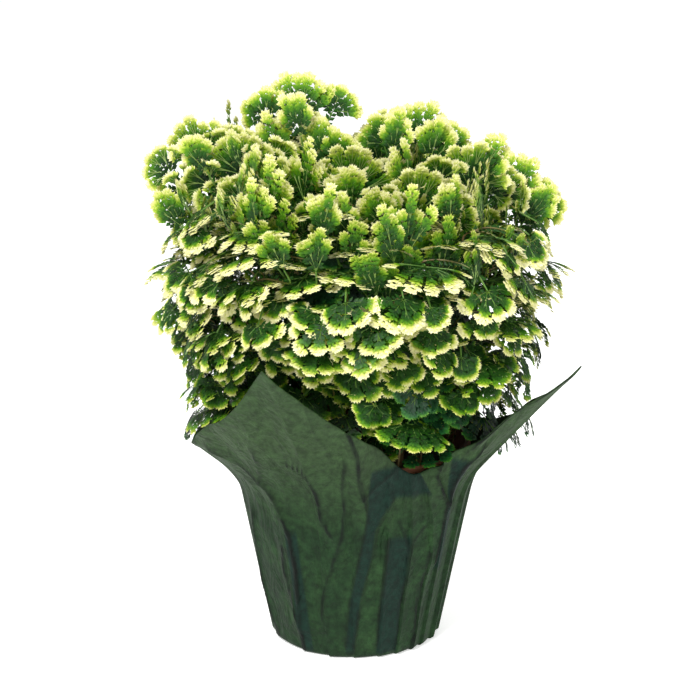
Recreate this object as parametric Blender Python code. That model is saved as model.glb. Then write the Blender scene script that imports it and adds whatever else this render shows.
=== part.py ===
# A variegated spikemoss in its pot: pleated paper cover, nursery pot, soil and leafy sprays.
# Metres, +Z up. The origin is the middle of the face that the cover stands on.
# Azimuths are in degrees from the front (-Y), growing towards the right (+X).

import math

import bpy
import numpy as np

SEED = 37

# Paper cover
PAPER = 0.0007
COVER_FLOOR = 0.0010
BASE_RADIUS = 0.0357
BASE_ROUND = 0.0015
WALL_SLOPE = 0.2
FLARE_HEIGHT = 0.066
FLARE_RUN = 0.020
SHEET_HALF_SIDE = 0.137
PLEAT_LIFT = 0.0014
PLEAT_FADE = 0.7
SWEEP_START = 0.048
WALL_ROWS = (0.0015, 0.045)
COLLAR_ROWS = (0.35, 0.7, 1.0)

# Middles of the sheet's sides and its corners: azimuth, angle on the sheet, paper past the
# flare's start, lean of the collar from level, lowest elevation of the foliage
SHEET_KEYS = np.array((
    (-82, 0, 0.0300, 42, -8),
    (-25, 45, 0.0330, 53, 17),
    (27, 0, 0.0225, 76, -2),
    (65, 45, 0.0330, 48, 10),
    (108, 0, 0.0280, 64, -10),
    (150, 45, 0.0330, 50, 13),
    (186, 0, 0.0300, 60, -8),
    (228, 45, 0.0080, 72, 9),
))

# Pleats at the front: azimuth at the base and at the paper's edge
FRONT_PLEATS = ((-71, -87), (-38, -80), (-18, -22), (-1, -4), (16, 14), (29, 24), (42, 29),
                (52, 36), (66, 64))
BACK_PLEATS = 15
BACK_PULL = 0.25

# Nursery pot
POT_GAP = 0.0003
POT_BASE_RADIUS = 0.0325
POT_WALL = 0.0015
POT_FLOOR = 0.0018
POT_SHOULDER = 0.0783
POT_SHOULDER_RADIUS = 0.0474
POT_LIP_RADIUS = 0.0505
POT_TOP = 0.0893
DRAIN_RADIUS = 0.006
POT_STEPS = 32

# Soil
SOIL_TOP = 0.0805
SOIL_DOME = 0.0018
SOIL_STEPS = 28

# Stems and sprays
STEM_FOOT = 0.0635
STEM_CLEAR = 0.0835
STEM_HALF = 0.0009
STALK_HALF = 0.0006
BLADE_HALF = 0.00035
HOLE_MARGIN = 0.0003
LOBES = 7
SIDE_LOBES = 5
LOBE_SPREAD = 78
HUB = 0.006
CUT = 0.40
LOBE_FILL = 0.68
LOBE_LENGTHS = (0.84, 1.06)
FAN_SIZES = (0.92, 1.10)
FAN_ARCH = 6.0
STALK_OUT = 0.15
STALK_ON = 0.06
STALK_BACK = 0.21

# Tiers of arching sprays, lowest first: how many, and the azimuth of the first
TIERS = ((4, 20), (6, -10), (7, -48), (7, 14), (6, -36), (4, 53))
CENTRE_HEIGHT = 0.110
TOP_ELEVATION = 37
TOP_RISE = 11
SUBTIER = 0.11
STAGGER = 0.02
OUTER_HOLE = 0.038
INNER_HOLE = 0.017
ARCH_PULL = 0.42
FAN_RADIUS = 0.0182
SIDE_FAN_RADIUS = 0.0145
SIDE_INSET = 0.013
SIDE_YAW = 10
NODE_BACK = 0.020
NODE_HALF = 0.0013
SIDE_DROOP = 60
FRONT_DROOP = 82

# How far the foliage reaches from its centre: elevation, to the left, to the right
REACH = np.array((
    (-20, 0.070, 0.078),
    (12, 0.084, 0.086),
    (34, 0.110, 0.112),
    (55, 0.124, 0.116),
))
FRONT_REACH = 0.90

# Upright sprays of the middle
UPRIGHT_FOOT = (0.16, 0.34)
UPRIGHT_LEAN = (0.62, 0.25, 1.0)
UPRIGHT_PULLS = (0.45, 0.35)
UPRIGHT_SEAT = 0.98
UPRIGHT_STRETCH = 1.25
UPRIGHT_BEND = 6.0
UPRIGHT_ARCH = 5.0
UPRIGHT_SIDE_BENDS = (3, 13)
UPRIGHT_NODE = 0.005
UPRIGHT_NEXT = 0.020
UPRIGHT_OUT = 0.0105
UPRIGHT_ON = 0.006
UPRIGHT_SHIFT = 0.0030
UPRIGHT_YAW = (28, 36)
UPRIGHT_SIZES = (0.85, 1.0)

# Each upright spray: tip x, tip y, tip z, size against FAN_RADIUS, pairs of side fans
UPRIGHTS = (
    (-0.069, -0.001, 0.228, 0.80, 1),
    (-0.052, -0.005, 0.224, 0.85, 1),
    (-0.025, 0.001, 0.248, 0.85, 2),
    (-0.035, -0.021, 0.218, 0.90, 1),
    (-0.002, -0.008, 0.220, 1.05, 2),
    (-0.028, 0.027, 0.214, 0.95, 1),
    (0.012, 0.020, 0.224, 0.95, 2),
    (0.027, 0.005, 0.235, 0.90, 2),
    (0.027, -0.024, 0.212, 0.95, 1),
    (0.052, -0.009, 0.220, 0.90, 1),
    (0.071, 0.005, 0.212, 0.85, 1),
)


def polar(azimuth):
    """Unit vectors outward and along growing azimuth."""
    turn = np.radians(azimuth)
    zero = np.zeros_like(turn)
    return (np.stack((np.sin(turn), -np.cos(turn), zero), -1),
            np.stack((np.cos(turn), np.sin(turn), zero), -1))


def unit(vector):
    return vector / np.linalg.norm(vector, axis=-1, keepdims=True)


def around(azimuth, column, eased=True):
    """A column of SHEET_KEYS at an azimuth, between the two keys beside it."""
    keys = SHEET_KEYS[:, 0]
    start = keys[0]
    place = (np.asarray(azimuth, float) - start) % 360
    edges = np.append(keys - start, 360)
    values = np.append(SHEET_KEYS[:, column], SHEET_KEYS[0, column])
    left = np.clip(np.searchsorted(edges, place, side="right") - 1, 0, len(keys) - 1)
    part = (place - edges[left]) / (edges[left + 1] - edges[left])
    if eased:
        part = part * part * (3 - 2 * part)
    return values[left] + (values[left + 1] - values[left]) * part


# Paper cover

def wall_length():
    return FLARE_HEIGHT * math.hypot(1, WALL_SLOPE)


def sheet_length(azimuth):
    """Paper from the base edge to the sheet's edge."""
    corner = np.radians(around(azimuth, 1, eased=False))
    return wall_length() + around(azimuth, 2) + SHEET_HALF_SIDE * (1 / np.cos(corner) - 1)


def cover_point(foot, edge, run, lift):
    """A point on a fold line that starts at azimuth foot and ends at azimuth edge, after run
    metres of paper, raised by lift. The wall is a cone; past the flare's start the paper bends
    over FLARE_RUN to its lean and then goes straight."""
    length = sheet_length(edge)
    sweep = np.clip((run - SWEEP_START) / (length - SWEEP_START), 0, 1) ** 2
    azimuth = foot + (edge - foot) * sweep
    steep = math.atan(1 / WALL_SLOPE)
    lean = np.radians(around(azimuth, 3))
    past = np.maximum(run - wall_length(), 0)
    rate = (lean - steep) / FLARE_RUN
    rate = np.where(np.abs(rate) < 1e-6, 1e-6, rate)
    bent = np.minimum(past, FLARE_RUN)
    angle = steep + rate * bent
    straight = np.maximum(past - FLARE_RUN, 0)
    on_wall = np.minimum(run, wall_length())
    radius = (BASE_RADIUS + on_wall * math.cos(steep)
              + (np.sin(angle) - math.sin(steep)) / rate + straight * np.cos(angle))
    height = (on_wall * math.sin(steep)
              + (math.cos(steep) - np.cos(angle)) / rate + straight * np.sin(angle))
    outward, _ = polar(azimuth)
    up = np.array((0, 0, 1.0))
    out = outward * np.sin(angle)[..., None] - up * np.cos(angle)[..., None]
    point = outward * radius[..., None] + up * height[..., None]
    return point + out * lift[..., None], out


def pleat_lines(rng):
    """Azimuths of all the pleats at the base and at the edge, once round."""
    lines = list(FRONT_PLEATS)
    first, last = np.array(FRONT_PLEATS[-1]), np.array(FRONT_PLEATS[0]) + 360
    notches = SHEET_KEYS[SHEET_KEYS[:, 1] == 0][:, 0]
    notches = np.append(notches, notches[0] + 360)
    for k in range(1, BACK_PLEATS + 1):
        foot, edge = first + (last - first) * (k + rng.uniform(-0.2, 0.2)) / (BACK_PLEATS + 1)
        notch = notches[np.argmin(np.abs(notches - edge))]
        lines.append((foot, edge + BACK_PULL * (notch - edge)))
    lines.append(tuple(last))
    return np.array(lines, float)


def cover_mesh():
    rng = np.random.default_rng(SEED)
    lines = pleat_lines(rng)
    depth = rng.uniform(0.65, 1.2, len(lines))
    feet, edges, lifts = [], [], []
    for k in range(len(lines) - 1):
        for part, height in ((0.0, 1.0), (0.5, 0.4), (0.94, 0.0)):
            foot, edge = lines[k] + (lines[k + 1] - lines[k]) * part
            feet.append(foot)
            edges.append(edge)
            lifts.append(PLEAT_LIFT * depth[k] * height)
    feet, edges, lifts = (np.array(values)[None, :] for values in (feet, edges, lifts))
    reach = sheet_length(edges)
    wall = np.array(WALL_ROWS)[:, None] + 0 * reach
    flare = wall_length() + np.array((0, FLARE_RUN / 2, FLARE_RUN))[:, None] + 0 * reach
    start = wall_length() + FLARE_RUN
    collar = start + (reach - start) * np.array(COLLAR_ROWS)[:, None]
    runs = np.concatenate((wall, flare, collar))
    fade = 1 - PLEAT_FADE * np.clip((runs - wall_length()) / (reach - wall_length()), 0, 1)
    outer, out = cover_point(feet, edges, runs, lifts * fade)
    inner = outer - out * PAPER
    foot_ring = outer[0] * np.array((1, 1, 0))
    foot_ring *= 1 - BASE_ROUND / BASE_RADIUS
    floor_ring = inner[0] * np.array((1, 1, 0)) + np.array((0, 0, COVER_FLOOR))
    inner[0] = floor_ring
    rings = [foot_ring, *outer, *inner[::-1]]
    return closed_rings(rings, (0, 0, 0), (0, 0, COVER_FLOOR))


def closed_rings(rings, first_pole, last_pole):
    """Vertices and faces of rings joined in turn, with a point closing each end."""
    count = len(rings[0])
    points = [first_pole, *(tuple(p) for ring in rings for p in ring), last_pole]
    last = len(points) - 1
    faces = []
    for j in range(count):
        k = (j + 1) % count
        faces.append((0, 1 + k, 1 + j))
        for i in range(len(rings) - 1):
            low, high = 1 + i * count, 1 + (i + 1) * count
            faces.append((low + j, low + k, high + k))
            faces.append((low + j, high + k, high + j))
        top = 1 + (len(rings) - 1) * count
        faces.append((top + j, top + k, last))
    return points, faces


# Nursery pot and soil

def pot_outer_radius(height):
    share = (height - COVER_FLOOR - POT_GAP) / (POT_SHOULDER - COVER_FLOOR - POT_GAP)
    return POT_BASE_RADIUS + (POT_SHOULDER_RADIUS - POT_BASE_RADIUS) * share


def pot_mesh():
    """A profile turned round the axis: outside, rolled lip, inside, floor with a drain hole."""
    foot = COVER_FLOOR + POT_GAP
    floor = foot + POT_FLOOR
    profile = (
        (DRAIN_RADIUS, foot),
        (POT_BASE_RADIUS - 0.0012, foot),
        (POT_BASE_RADIUS, foot + 0.0012),
        (POT_SHOULDER_RADIUS, POT_SHOULDER),
        (POT_LIP_RADIUS - 0.0006, POT_SHOULDER + 0.0008),
        (POT_LIP_RADIUS, POT_TOP - 0.0010),
        (POT_LIP_RADIUS - 0.0010, POT_TOP),
        (POT_LIP_RADIUS - 0.0024, POT_TOP - 0.0006),
        (POT_SHOULDER_RADIUS - POT_WALL + 0.0004, POT_SHOULDER),
        (POT_BASE_RADIUS - POT_WALL, floor),
        (DRAIN_RADIUS, floor),
    )
    turns = 360 * np.arange(POT_STEPS) / POT_STEPS
    outward, _ = polar(turns)
    points = [tuple(way * r + np.array((0, 0, z))) for r, z in profile for way in outward]
    faces = []
    for i in range(len(profile)):
        low, high = i * POT_STEPS, (i + 1) % len(profile) * POT_STEPS
        for j in range(POT_STEPS):
            k = (j + 1) % POT_STEPS
            faces.append((low + j, low + k, high + k, high + j))
    return points, faces


def soil_mesh(rng):
    """The soil fills the pot to a low, uneven dome."""
    turns = 360 * np.arange(SOIL_STEPS) / SOIL_STEPS
    outward, _ = polar(turns)
    foot = COVER_FLOOR + 2 * POT_GAP + POT_FLOOR
    radii = [(pot_outer_radius(foot) - POT_WALL - POT_GAP - 0.0006, foot),
             (pot_outer_radius(SOIL_TOP) - POT_WALL - 0.0008, SOIL_TOP - 0.0025)]
    top_radius = radii[-1][0]
    for share in (0.9, 0.62, 0.3):
        radii.append((top_radius * share, SOIL_TOP + SOIL_DOME * (1 - share ** 2)))
    rings = []
    for index, (radius, height) in enumerate(radii):
        uneven = rng.uniform(-0.0005, 0.0005, SOIL_STEPS) * (index > 1)
        rings.append(outward * radius + np.stack((0 * uneven, 0 * uneven, height + uneven), -1))
    return closed_rings(rings, (0, 0, foot), (0, 0, SOIL_TOP + SOIL_DOME))


# Layout of the sprays

def reach_at(elevation, azimuth):
    """Distance of the leaf tips from the foliage's centre."""
    rightness = (1 + np.sin(np.radians(azimuth))) / 2
    left = np.interp(elevation, REACH[:, 0], REACH[:, 1])
    right = np.interp(elevation, REACH[:, 0], REACH[:, 2])
    frontness = np.cos(np.radians(azimuth)) ** 2
    return (left + (right - left) * rightness) * (1 - (1 - FRONT_REACH) * frontness)


def cubic(start, rise, lead, tip, count=60):
    t = np.linspace(0, 1, count)[:, None]
    return (start * (1 - t) ** 3 + rise * 3 * t * (1 - t) ** 2
            + lead * 3 * t * t * (1 - t) + tip * t ** 3)


def tier_curve(level, azimuth):
    """The arch that a spray of this level follows from the soil to its tip: a cubic curve that
    starts upright and ends drooping. Curves of higher levels lie wholly above lower ones."""
    low = float(around(azimuth, 4))
    frontness = math.cos(math.radians(azimuth)) ** 2
    elevation = low + (TOP_ELEVATION + TOP_RISE * frontness - low) * level
    reach = float(reach_at(elevation, azimuth))
    droop = SIDE_DROOP + (FRONT_DROOP - SIDE_DROOP) * frontness
    hang = math.radians(elevation - droop)
    hole = OUTER_HOLE + (INNER_HOLE - OUTER_HOLE) * level
    start = np.array((hole, STEM_CLEAR))
    tip = np.array((reach * math.cos(math.radians(elevation)),
                    CENTRE_HEIGHT + reach * math.sin(math.radians(elevation))))
    span = np.linalg.norm(tip - start)
    rise = start + np.array((0, ARCH_PULL * span))
    lead = tip - ARCH_PULL * span * np.array((math.cos(hang), math.sin(hang)))
    flat = cubic(start, rise, lead, tip)
    outward, along = polar(np.float64(azimuth))
    return outward * flat[:, :1] + np.array((0, 0, 1.0)) * flat[:, 1:], along


def at_length(curve, length):
    """Point and direction at a length along a curve, counted from its end if negative."""
    steps = np.linalg.norm(np.diff(curve, axis=0), axis=1)
    marks = np.concatenate(((0,), np.cumsum(steps)))
    if length < 0:
        length += marks[-1]
    point = np.array([np.interp(length, marks, curve[:, k]) for k in range(3)])
    ahead = np.array([np.interp(length + 0.001, marks, curve[:, k]) for k in range(3)])
    behind = np.array([np.interp(length - 0.001, marks, curve[:, k]) for k in range(3)])
    return point, unit(ahead - behind)


def turned_about(vector, axis, degrees):
    turn = math.radians(degrees)
    return (vector * math.cos(turn) + np.cross(axis, vector) * math.sin(turn)
            + axis * np.dot(axis, vector) * (1 - math.cos(turn)))


def fan_on_tier(level, azimuth, inset, radius, yaw, roll, lobes):
    """A fan lying on a tier's arch, inset from the tip, turned by yaw in its own plane. It
    leans sideways as the tier does."""
    length = HUB + radius
    curve, _ = tier_curve(level, azimuth)
    origin, ahead = at_length(curve, -(inset + length))
    beside = [at_length(tier_curve(level, azimuth + turn)[0], -(inset + length / 2))[0]
              for turn in (-5, 5)]
    along = beside[1] - beside[0]
    _, beyond = at_length(curve, -(inset + 0.001))
    bend = math.acos(float(np.clip(np.dot(ahead, beyond), -1, 1))) / length
    normal = unit(np.cross(-along, ahead))
    ahead = turned_about(ahead, normal, yaw)
    normal = turned_about(normal, ahead, roll)
    return dict(origin=origin, ahead=ahead, normal=normal, radius=radius,
                bend=bend, arch=FAN_ARCH, stretch=1.0, lobes=lobes)


def lobe_lengths(rng, count):
    return rng.uniform(*LOBE_LENGTHS, count)


def tier_spray(level, azimuth, spread, rng):
    """A stem with a fan at its end and one at each side, on the arches of its tier."""
    curve, along = tier_curve(level, azimuth)
    fans = []
    radius = FAN_RADIUS * rng.uniform(*FAN_SIZES)
    fans.append(fan_on_tier(level, azimuth, 0.0, radius, rng.uniform(-8, 8),
                            rng.uniform(-4, 4), lobe_lengths(rng, LOBES)))
    steps = np.linalg.norm(np.diff(curve, axis=0), axis=1)
    total = steps.sum()
    end = total - HUB - radius
    node = max(end - NODE_BACK, 0.25 * total)
    for side in (-1, 1):
        near = azimuth + side * spread + rng.uniform(-2, 2)
        size = SIDE_FAN_RADIUS * rng.uniform(*FAN_SIZES)
        inset = SIDE_INSET + rng.uniform(-0.002, 0.002)
        fans.append(fan_on_tier(level + SUBTIER + STAGGER * side, near, inset, size,
                                side * SIDE_YAW, rng.uniform(-4, 4),
                                lobe_lengths(rng, SIDE_LOBES)))
    marks = (0.0, 0.5 * node, node - NODE_HALF, node + NODE_HALF, 0.5 * (node + end), end)
    path = [at_length(curve, max(mark, 1e-6)) for mark in marks]
    centres = np.array([point for point, _ in path])
    aheads = np.array([ahead for _, ahead in path])
    aheads[0] = (0, 0, 1)
    normals = unit(np.cross(-along, aheads))
    return dict(centres=centres, aheads=aheads, normals=normals, fans=fans, nodes=(3, 3))


def upright_spray(tip, size, pairs, rng):
    """A stem that climbs from the soil's middle and leans to its tip, its fans facing front or
    back."""
    tip = np.array(tip)
    facing = 1.0 if tip[1] < 0 else -1.0
    foot = np.array((tip[0] * UPRIGHT_FOOT[0], tip[1] * UPRIGHT_FOOT[1], STEM_CLEAR))
    radius = FAN_RADIUS * size
    lean = unit((tip - (0, 0, STEM_CLEAR)) * UPRIGHT_LEAN)
    normal = np.array((0, facing, 0.0))
    normal = turned_about(normal, np.array((0, 0, 1.0)), rng.uniform(-14, 14))
    normal = unit(normal - lean * np.dot(normal, lean))
    end = tip - lean * (HUB + radius * UPRIGHT_STRETCH) * UPRIGHT_SEAT
    span = np.linalg.norm(end - foot)
    rise = foot + np.array((0, 0, UPRIGHT_PULLS[0] * span))
    curve = cubic(foot, rise, end - lean * UPRIGHT_PULLS[1] * span, end)
    total = np.linalg.norm(np.diff(curve, axis=0), axis=1).sum()
    nodes = [total - UPRIGHT_NODE - UPRIGHT_NEXT * pair for pair in range(pairs)]
    fans = [dict(origin=end, ahead=lean, normal=normal, radius=radius, bend=UPRIGHT_BEND,
                 arch=UPRIGHT_ARCH, stretch=UPRIGHT_STRETCH, lobes=lobe_lengths(rng, LOBES))]
    for pair, node in enumerate(nodes):
        node_point, node_ahead = at_length(curve, node)
        node_normal = unit(normal - node_ahead * np.dot(normal, node_ahead))
        right = np.cross(node_ahead, node_normal)
        for side in (1, -1):
            ahead = turned_about(node_ahead, node_normal, -side * rng.uniform(*UPRIGHT_YAW))
            back = side * (1 - 2 * pair)
            origin = (node_point + side * right * UPRIGHT_OUT + node_ahead * UPRIGHT_ON
                      - node_normal * UPRIGHT_SHIFT * back)
            fans.append(dict(origin=origin, ahead=ahead, normal=node_normal,
                             radius=SIDE_FAN_RADIUS * size * rng.uniform(*UPRIGHT_SIZES),
                             bend=UPRIGHT_SIDE_BENDS[back > 0], arch=UPRIGHT_ARCH, stretch=1.0,
                             lobes=lobe_lengths(rng, SIDE_LOBES)))
    marks = [0.0, 0.5 * nodes[-1]]
    for node in reversed(nodes):
        marks += [node - NODE_HALF, node + NODE_HALF]
    marks.append(total)
    path = [at_length(curve, max(mark, 1e-6)) for mark in marks]
    centres = np.array([point for point, _ in path])
    aheads = np.array([ahead for _, ahead in path])
    aheads[0] = (0, 0, 1)
    normals = unit(normal - aheads * (aheads @ normal)[:, None])
    return dict(centres=centres, aheads=aheads, normals=normals, fans=fans,
                nodes=(5, 5, 3, 3) if pairs == 2 else (3, 3))


def spray_layout():
    rng = np.random.default_rng(SEED)
    sprays = []
    for index, (count, first) in enumerate(TIERS):
        for k in range(count):
            azimuth = first + 360 * k / count + rng.uniform(-2.5, 2.5)
            level = index / (len(TIERS) - 1) + rng.uniform(-0.005, 0.005)
            sprays.append(tier_spray(level, azimuth, 90 / count, rng))
    for x, y, z, size, pairs in UPRIGHTS:
        sprays.append(upright_spray((x, y, z), size, pairs, rng))
    return sprays


# Sprays as solids

class Sheet:
    """Points with a normal and a half thickness, and the triangles of the upper face."""

    def __init__(self):
        self.points, self.normals, self.halves, self.triangles = [], [], [], []

    def add(self, point, normal, half):
        self.points.append(np.asarray(point, float))
        self.normals.append(np.asarray(normal, float))
        self.halves.append(half)
        return len(self.points) - 1

    def quad(self, a, b, c, d):
        self.triangles += [(a, b, c), (a, c, d)]

    def solid(self):
        """Both faces, and a side along each edge that only one triangle has."""
        points, normals = np.array(self.points), np.array(self.normals)
        shift = normals * np.array(self.halves)[:, None]
        count = len(points)
        faces = list(self.triangles)
        faces += [(c + count, b + count, a + count) for a, b, c in self.triangles]
        edges = {(t[i], t[(i + 1) % 3]) for t in self.triangles for i in range(3)}
        for a, b in sorted(edges):
            if (b, a) not in edges:
                faces += [(b, a, a + count), (b, a + count, b + count)]
        return [tuple(p) for p in np.concatenate((points + shift, points - shift))], faces


def fan_point(fan, u, v):
    """A fan bends down along its length by its bend and to both sides by its arch."""
    turn = fan["bend"] * u
    ahead, normal = fan["ahead"], fan["normal"]
    right = np.cross(ahead, normal)
    here = normal * math.cos(turn) + ahead * math.sin(turn)
    reach = math.sin(turn) / fan["bend"]
    drop = (1 - math.cos(turn)) / fan["bend"]
    point = fan["origin"] + ahead * reach - normal * drop + right * v - here * fan["arch"] * v * v
    lean = unit(here + right * 2 * fan["arch"] * v)
    return point, lean


def add_fan(sheet, right_foot, left_foot, fan):
    """Lobes spread round a hub, each cut down close to it."""
    count = len(fan["lobes"])
    step = 2 * LOBE_SPREAD / (count - 1)
    radius = fan["radius"]
    notches = [right_foot]
    tips = []
    for k in range(count):
        angle = math.radians(LOBE_SPREAD - k * step)
        half = math.radians(step / 2) * LOBE_FILL
        pair = []
        for way in (half, -half):
            reach = radius * fan["lobes"][k]
            u = HUB + reach * math.cos(angle + way) * fan["stretch"]
            v = reach * math.sin(angle + way)
            pair.append(sheet.add(*fan_point(fan, u, v), BLADE_HALF))
        tips.append(pair)
        if k < count - 1:
            between = math.radians(LOBE_SPREAD - (k + 0.5) * step)
            u = HUB + radius * CUT * math.cos(between) * fan["stretch"]
            v = radius * CUT * math.sin(between)
            notches.append(sheet.add(*fan_point(fan, u, v), BLADE_HALF))
    notches.append(left_foot)
    for k, (first, second) in enumerate(tips):
        sheet.quad(notches[k], first, second, notches[k + 1])
    last = len(notches) - 1
    low, high = 0, last
    while high - low > 1:
        sheet.triangles.append((notches[low], notches[low + 1], notches[high]))
        if high - low > 2:
            sheet.triangles.append((notches[low + 1], notches[high - 1], notches[high]))
        low, high = low + 1, high - 1


def stalk_feet(sheet, fan):
    """The two points where a stalk runs into its fan."""
    right = np.cross(fan["ahead"], fan["normal"])
    return [sheet.add(fan["origin"] + side * right * STALK_HALF, fan["normal"], STALK_HALF * 0.8)
            for side in (1, -1)]


def spray_mesh(spray):
    sheet = Sheet()
    centres, aheads, normals = spray["centres"], spray["aheads"], spray["normals"]
    centres = np.concatenate((centres[:1] * (1, 1, 0) + (0, 0, STEM_FOOT), centres))
    aheads = np.concatenate((aheads[:1], aheads))
    normals = np.concatenate((normals[:1], normals))
    rights = np.cross(aheads, normals)
    last = len(centres) - 1
    halves = np.interp(np.arange(last + 1), (0, 2, last), (STEM_HALF, STEM_HALF, STALK_HALF))
    right_edge = [sheet.add(centres[i] + rights[i] * halves[i], normals[i], halves[i])
                  for i in range(last + 1)]
    left_edge = [sheet.add(centres[i] - rights[i] * halves[i], normals[i], halves[i])
                 for i in range(last + 1)]
    for i in range(last):
        sheet.quad(right_edge[i], right_edge[i + 1], left_edge[i + 1], left_edge[i])
    add_fan(sheet, right_edge[-1], left_edge[-1], spray["fans"][0])
    for fan, node in zip(spray["fans"][1:], spray["nodes"]):
        middle = (centres[node] + centres[node + 1]) / 2
        side = math.copysign(1, np.dot(fan["origin"] - middle, rights[node]))
        way = rights[node] * side
        if side > 0:
            feet = (right_edge[node], right_edge[node + 1])
        else:
            feet = (left_edge[node + 1], left_edge[node])
        gap = np.linalg.norm(fan["origin"] - middle)
        course = ((middle + fan["origin"]) / 2
                  + (way * STALK_OUT + aheads[node] * STALK_ON - fan["ahead"] * STALK_BACK) * gap / 2)
        heading = unit(fan["origin"] - middle)
        normal = unit(normals[node] + fan["normal"])
        normal = unit(normal - heading * np.dot(normal, heading))
        right = np.cross(heading, normal)
        waist = [sheet.add(course + s * right * STALK_HALF, normal, STALK_HALF) for s in (1, -1)]
        ends = stalk_feet(sheet, fan)
        sheet.quad(feet[0], waist[0], waist[1], feet[1])
        sheet.quad(waist[0], ends[0], ends[1], waist[1])
        add_fan(sheet, ends[0], ends[1], fan)
    return sheet.solid()


def hole_mesh(sprays):
    """One upright box for each stem, a little wider than it."""
    points, faces = [], []
    half = STEM_HALF + HOLE_MARGIN
    for spray in sprays:
        centre = spray["centres"][0] * (1, 1, 0)
        normal = spray["normals"][0]
        right = np.cross(spray["aheads"][0], normal)
        first = len(points)
        for height in (STEM_FOOT - HOLE_MARGIN, STEM_CLEAR + 0.004):
            for a, b in ((-1, -1), (-1, 1), (1, 1), (1, -1)):
                corner = centre + right * half * a + normal * half * b
                points.append((corner[0], corner[1], height))
        for face in ((3, 2, 1, 0), (4, 5, 6, 7), (0, 1, 5, 4), (1, 2, 6, 5), (2, 3, 7, 6), (3, 0, 4, 7)):
            faces.append(tuple(first + k for k in face))
    return points, faces


# Objects and materials

def material(name, colour, roughness):
    made = bpy.data.materials.new(name)
    made.use_nodes = True
    shader = made.node_tree.nodes["Principled BSDF"]
    shader.inputs["Base Color"].default_value = (*colour, 1)
    shader.inputs["Roughness"].default_value = roughness
    return made


def add_object(name, mesh_data, surface, smooth_angle=40):
    points, faces = mesh_data
    mesh = bpy.data.meshes.new(name)
    mesh.from_pydata(points, [], faces)
    mesh.materials.append(surface)
    mesh.shade_smooth()
    mesh.set_sharp_from_angle(angle=math.radians(smooth_angle))
    thing = bpy.data.objects.new(name, mesh)
    bpy.context.scene.collection.objects.link(thing)
    return thing


def main():
    for old in list(bpy.data.objects):
        bpy.data.objects.remove(old)
    paper = material("dark_green_paper", (0.055, 0.095, 0.045), 0.75)
    plastic = material("terracotta_plastic", (0.19, 0.08, 0.04), 0.5)
    earth = material("peat_soil", (0.03, 0.02, 0.013), 0.95)
    leaf = material("variegated_leaf", (0.20, 0.38, 0.06), 0.5)
    add_object("pot_cover", cover_mesh(), paper)
    add_object("grower_pot", pot_mesh(), plastic)
    sprays = spray_layout()
    soil = add_object("soil", soil_mesh(np.random.default_rng(SEED)), earth)
    holes = add_object("stem_holes", hole_mesh(sprays), earth)
    holes.hide_render = True
    holes.display_type = "WIRE"
    cut = soil.modifiers.new("stem_holes", "BOOLEAN")
    cut.operation = "DIFFERENCE"
    cut.solver = "EXACT"
    cut.object = holes
    for number, spray in enumerate(sprays, 1):
        add_object(f"spray_{number:02d}", spray_mesh(spray), leaf, 30)


main()
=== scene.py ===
import math

import bpy
import numpy as np
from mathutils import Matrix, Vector


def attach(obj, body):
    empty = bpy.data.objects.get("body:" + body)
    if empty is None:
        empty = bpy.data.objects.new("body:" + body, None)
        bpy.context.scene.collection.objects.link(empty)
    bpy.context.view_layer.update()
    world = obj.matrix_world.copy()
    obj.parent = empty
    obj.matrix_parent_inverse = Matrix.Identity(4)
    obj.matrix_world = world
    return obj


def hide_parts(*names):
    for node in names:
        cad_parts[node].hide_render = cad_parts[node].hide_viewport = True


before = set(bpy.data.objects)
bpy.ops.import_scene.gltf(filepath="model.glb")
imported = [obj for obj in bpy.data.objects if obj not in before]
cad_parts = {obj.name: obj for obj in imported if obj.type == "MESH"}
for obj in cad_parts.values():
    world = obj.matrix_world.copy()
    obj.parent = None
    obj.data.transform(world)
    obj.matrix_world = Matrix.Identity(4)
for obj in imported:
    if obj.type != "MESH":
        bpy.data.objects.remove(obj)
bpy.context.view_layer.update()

# A variegated spikemoss in a nursery pot, in a pleated cover of green florist's paper.
# Everything is in metres. Azimuths are degrees from the front (-Y), growing to the right (+X).

up = np.array((0.0, 0.0, 1.0))


# vectors and curves

def polar(azimuth):
    # outward = (sin a, -cos a, 0), along = (cos a, sin a, 0)
    turn = np.radians(azimuth)
    zero = np.zeros_like(turn)
    return (np.stack((np.sin(turn), -np.cos(turn), zero), -1),
            np.stack((np.cos(turn), np.sin(turn), zero), -1))


def unit(vector):
    return vector / np.linalg.norm(vector, axis=-1, keepdims=True)


def squareTo(ahead, vector):
    # the part of a vector that is square to a direction: v - a (a.v)
    return unit(vector - ahead * np.dot(vector, ahead))


def turnedAbout(vector, axis, degrees):
    # v cos t + (k x v) sin t + k (k.v)(1 - cos t)
    turn = math.radians(degrees)
    return (vector * math.cos(turn) + np.cross(axis, vector) * math.sin(turn)
            + axis * np.dot(axis, vector) * (1 - math.cos(turn)))


def cubic(start, rise, lead, tip, count=60):
    # (1-t)^3 a + 3t(1-t)^2 b + 3t^2(1-t) c + t^3 d
    t = np.linspace(0, 1, count)[:, None]
    return (start * (1 - t) ** 3 + rise * 3 * t * (1 - t) ** 2
            + lead * 3 * t * t * (1 - t) + tip * t ** 3)


def marksAlong(curve):
    # the length from the start of a polyline to each of its points
    return np.concatenate(((0,), np.cumsum(np.linalg.norm(np.diff(curve, axis=0), axis=1))))


def pointsAt(curve, lengths):
    marks = marksAlong(curve)
    return np.stack([np.interp(lengths, marks, curve[:, k]) for k in range(3)], -1)


def atLength(curve, length):
    # point and direction at a length along a polyline, counted from its end if negative
    if length < 0:
        length += marksAlong(curve)[-1]
    before, point, after = pointsAt(curve, length + np.array((-0.001, 0, 0.001)))
    return point, unit(after - before)


def drawn(rng, value):
    # a pair is a range to draw from, and a number is the value itself
    return rng.uniform(*value) if isinstance(value, tuple) else value


# meshes

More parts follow.
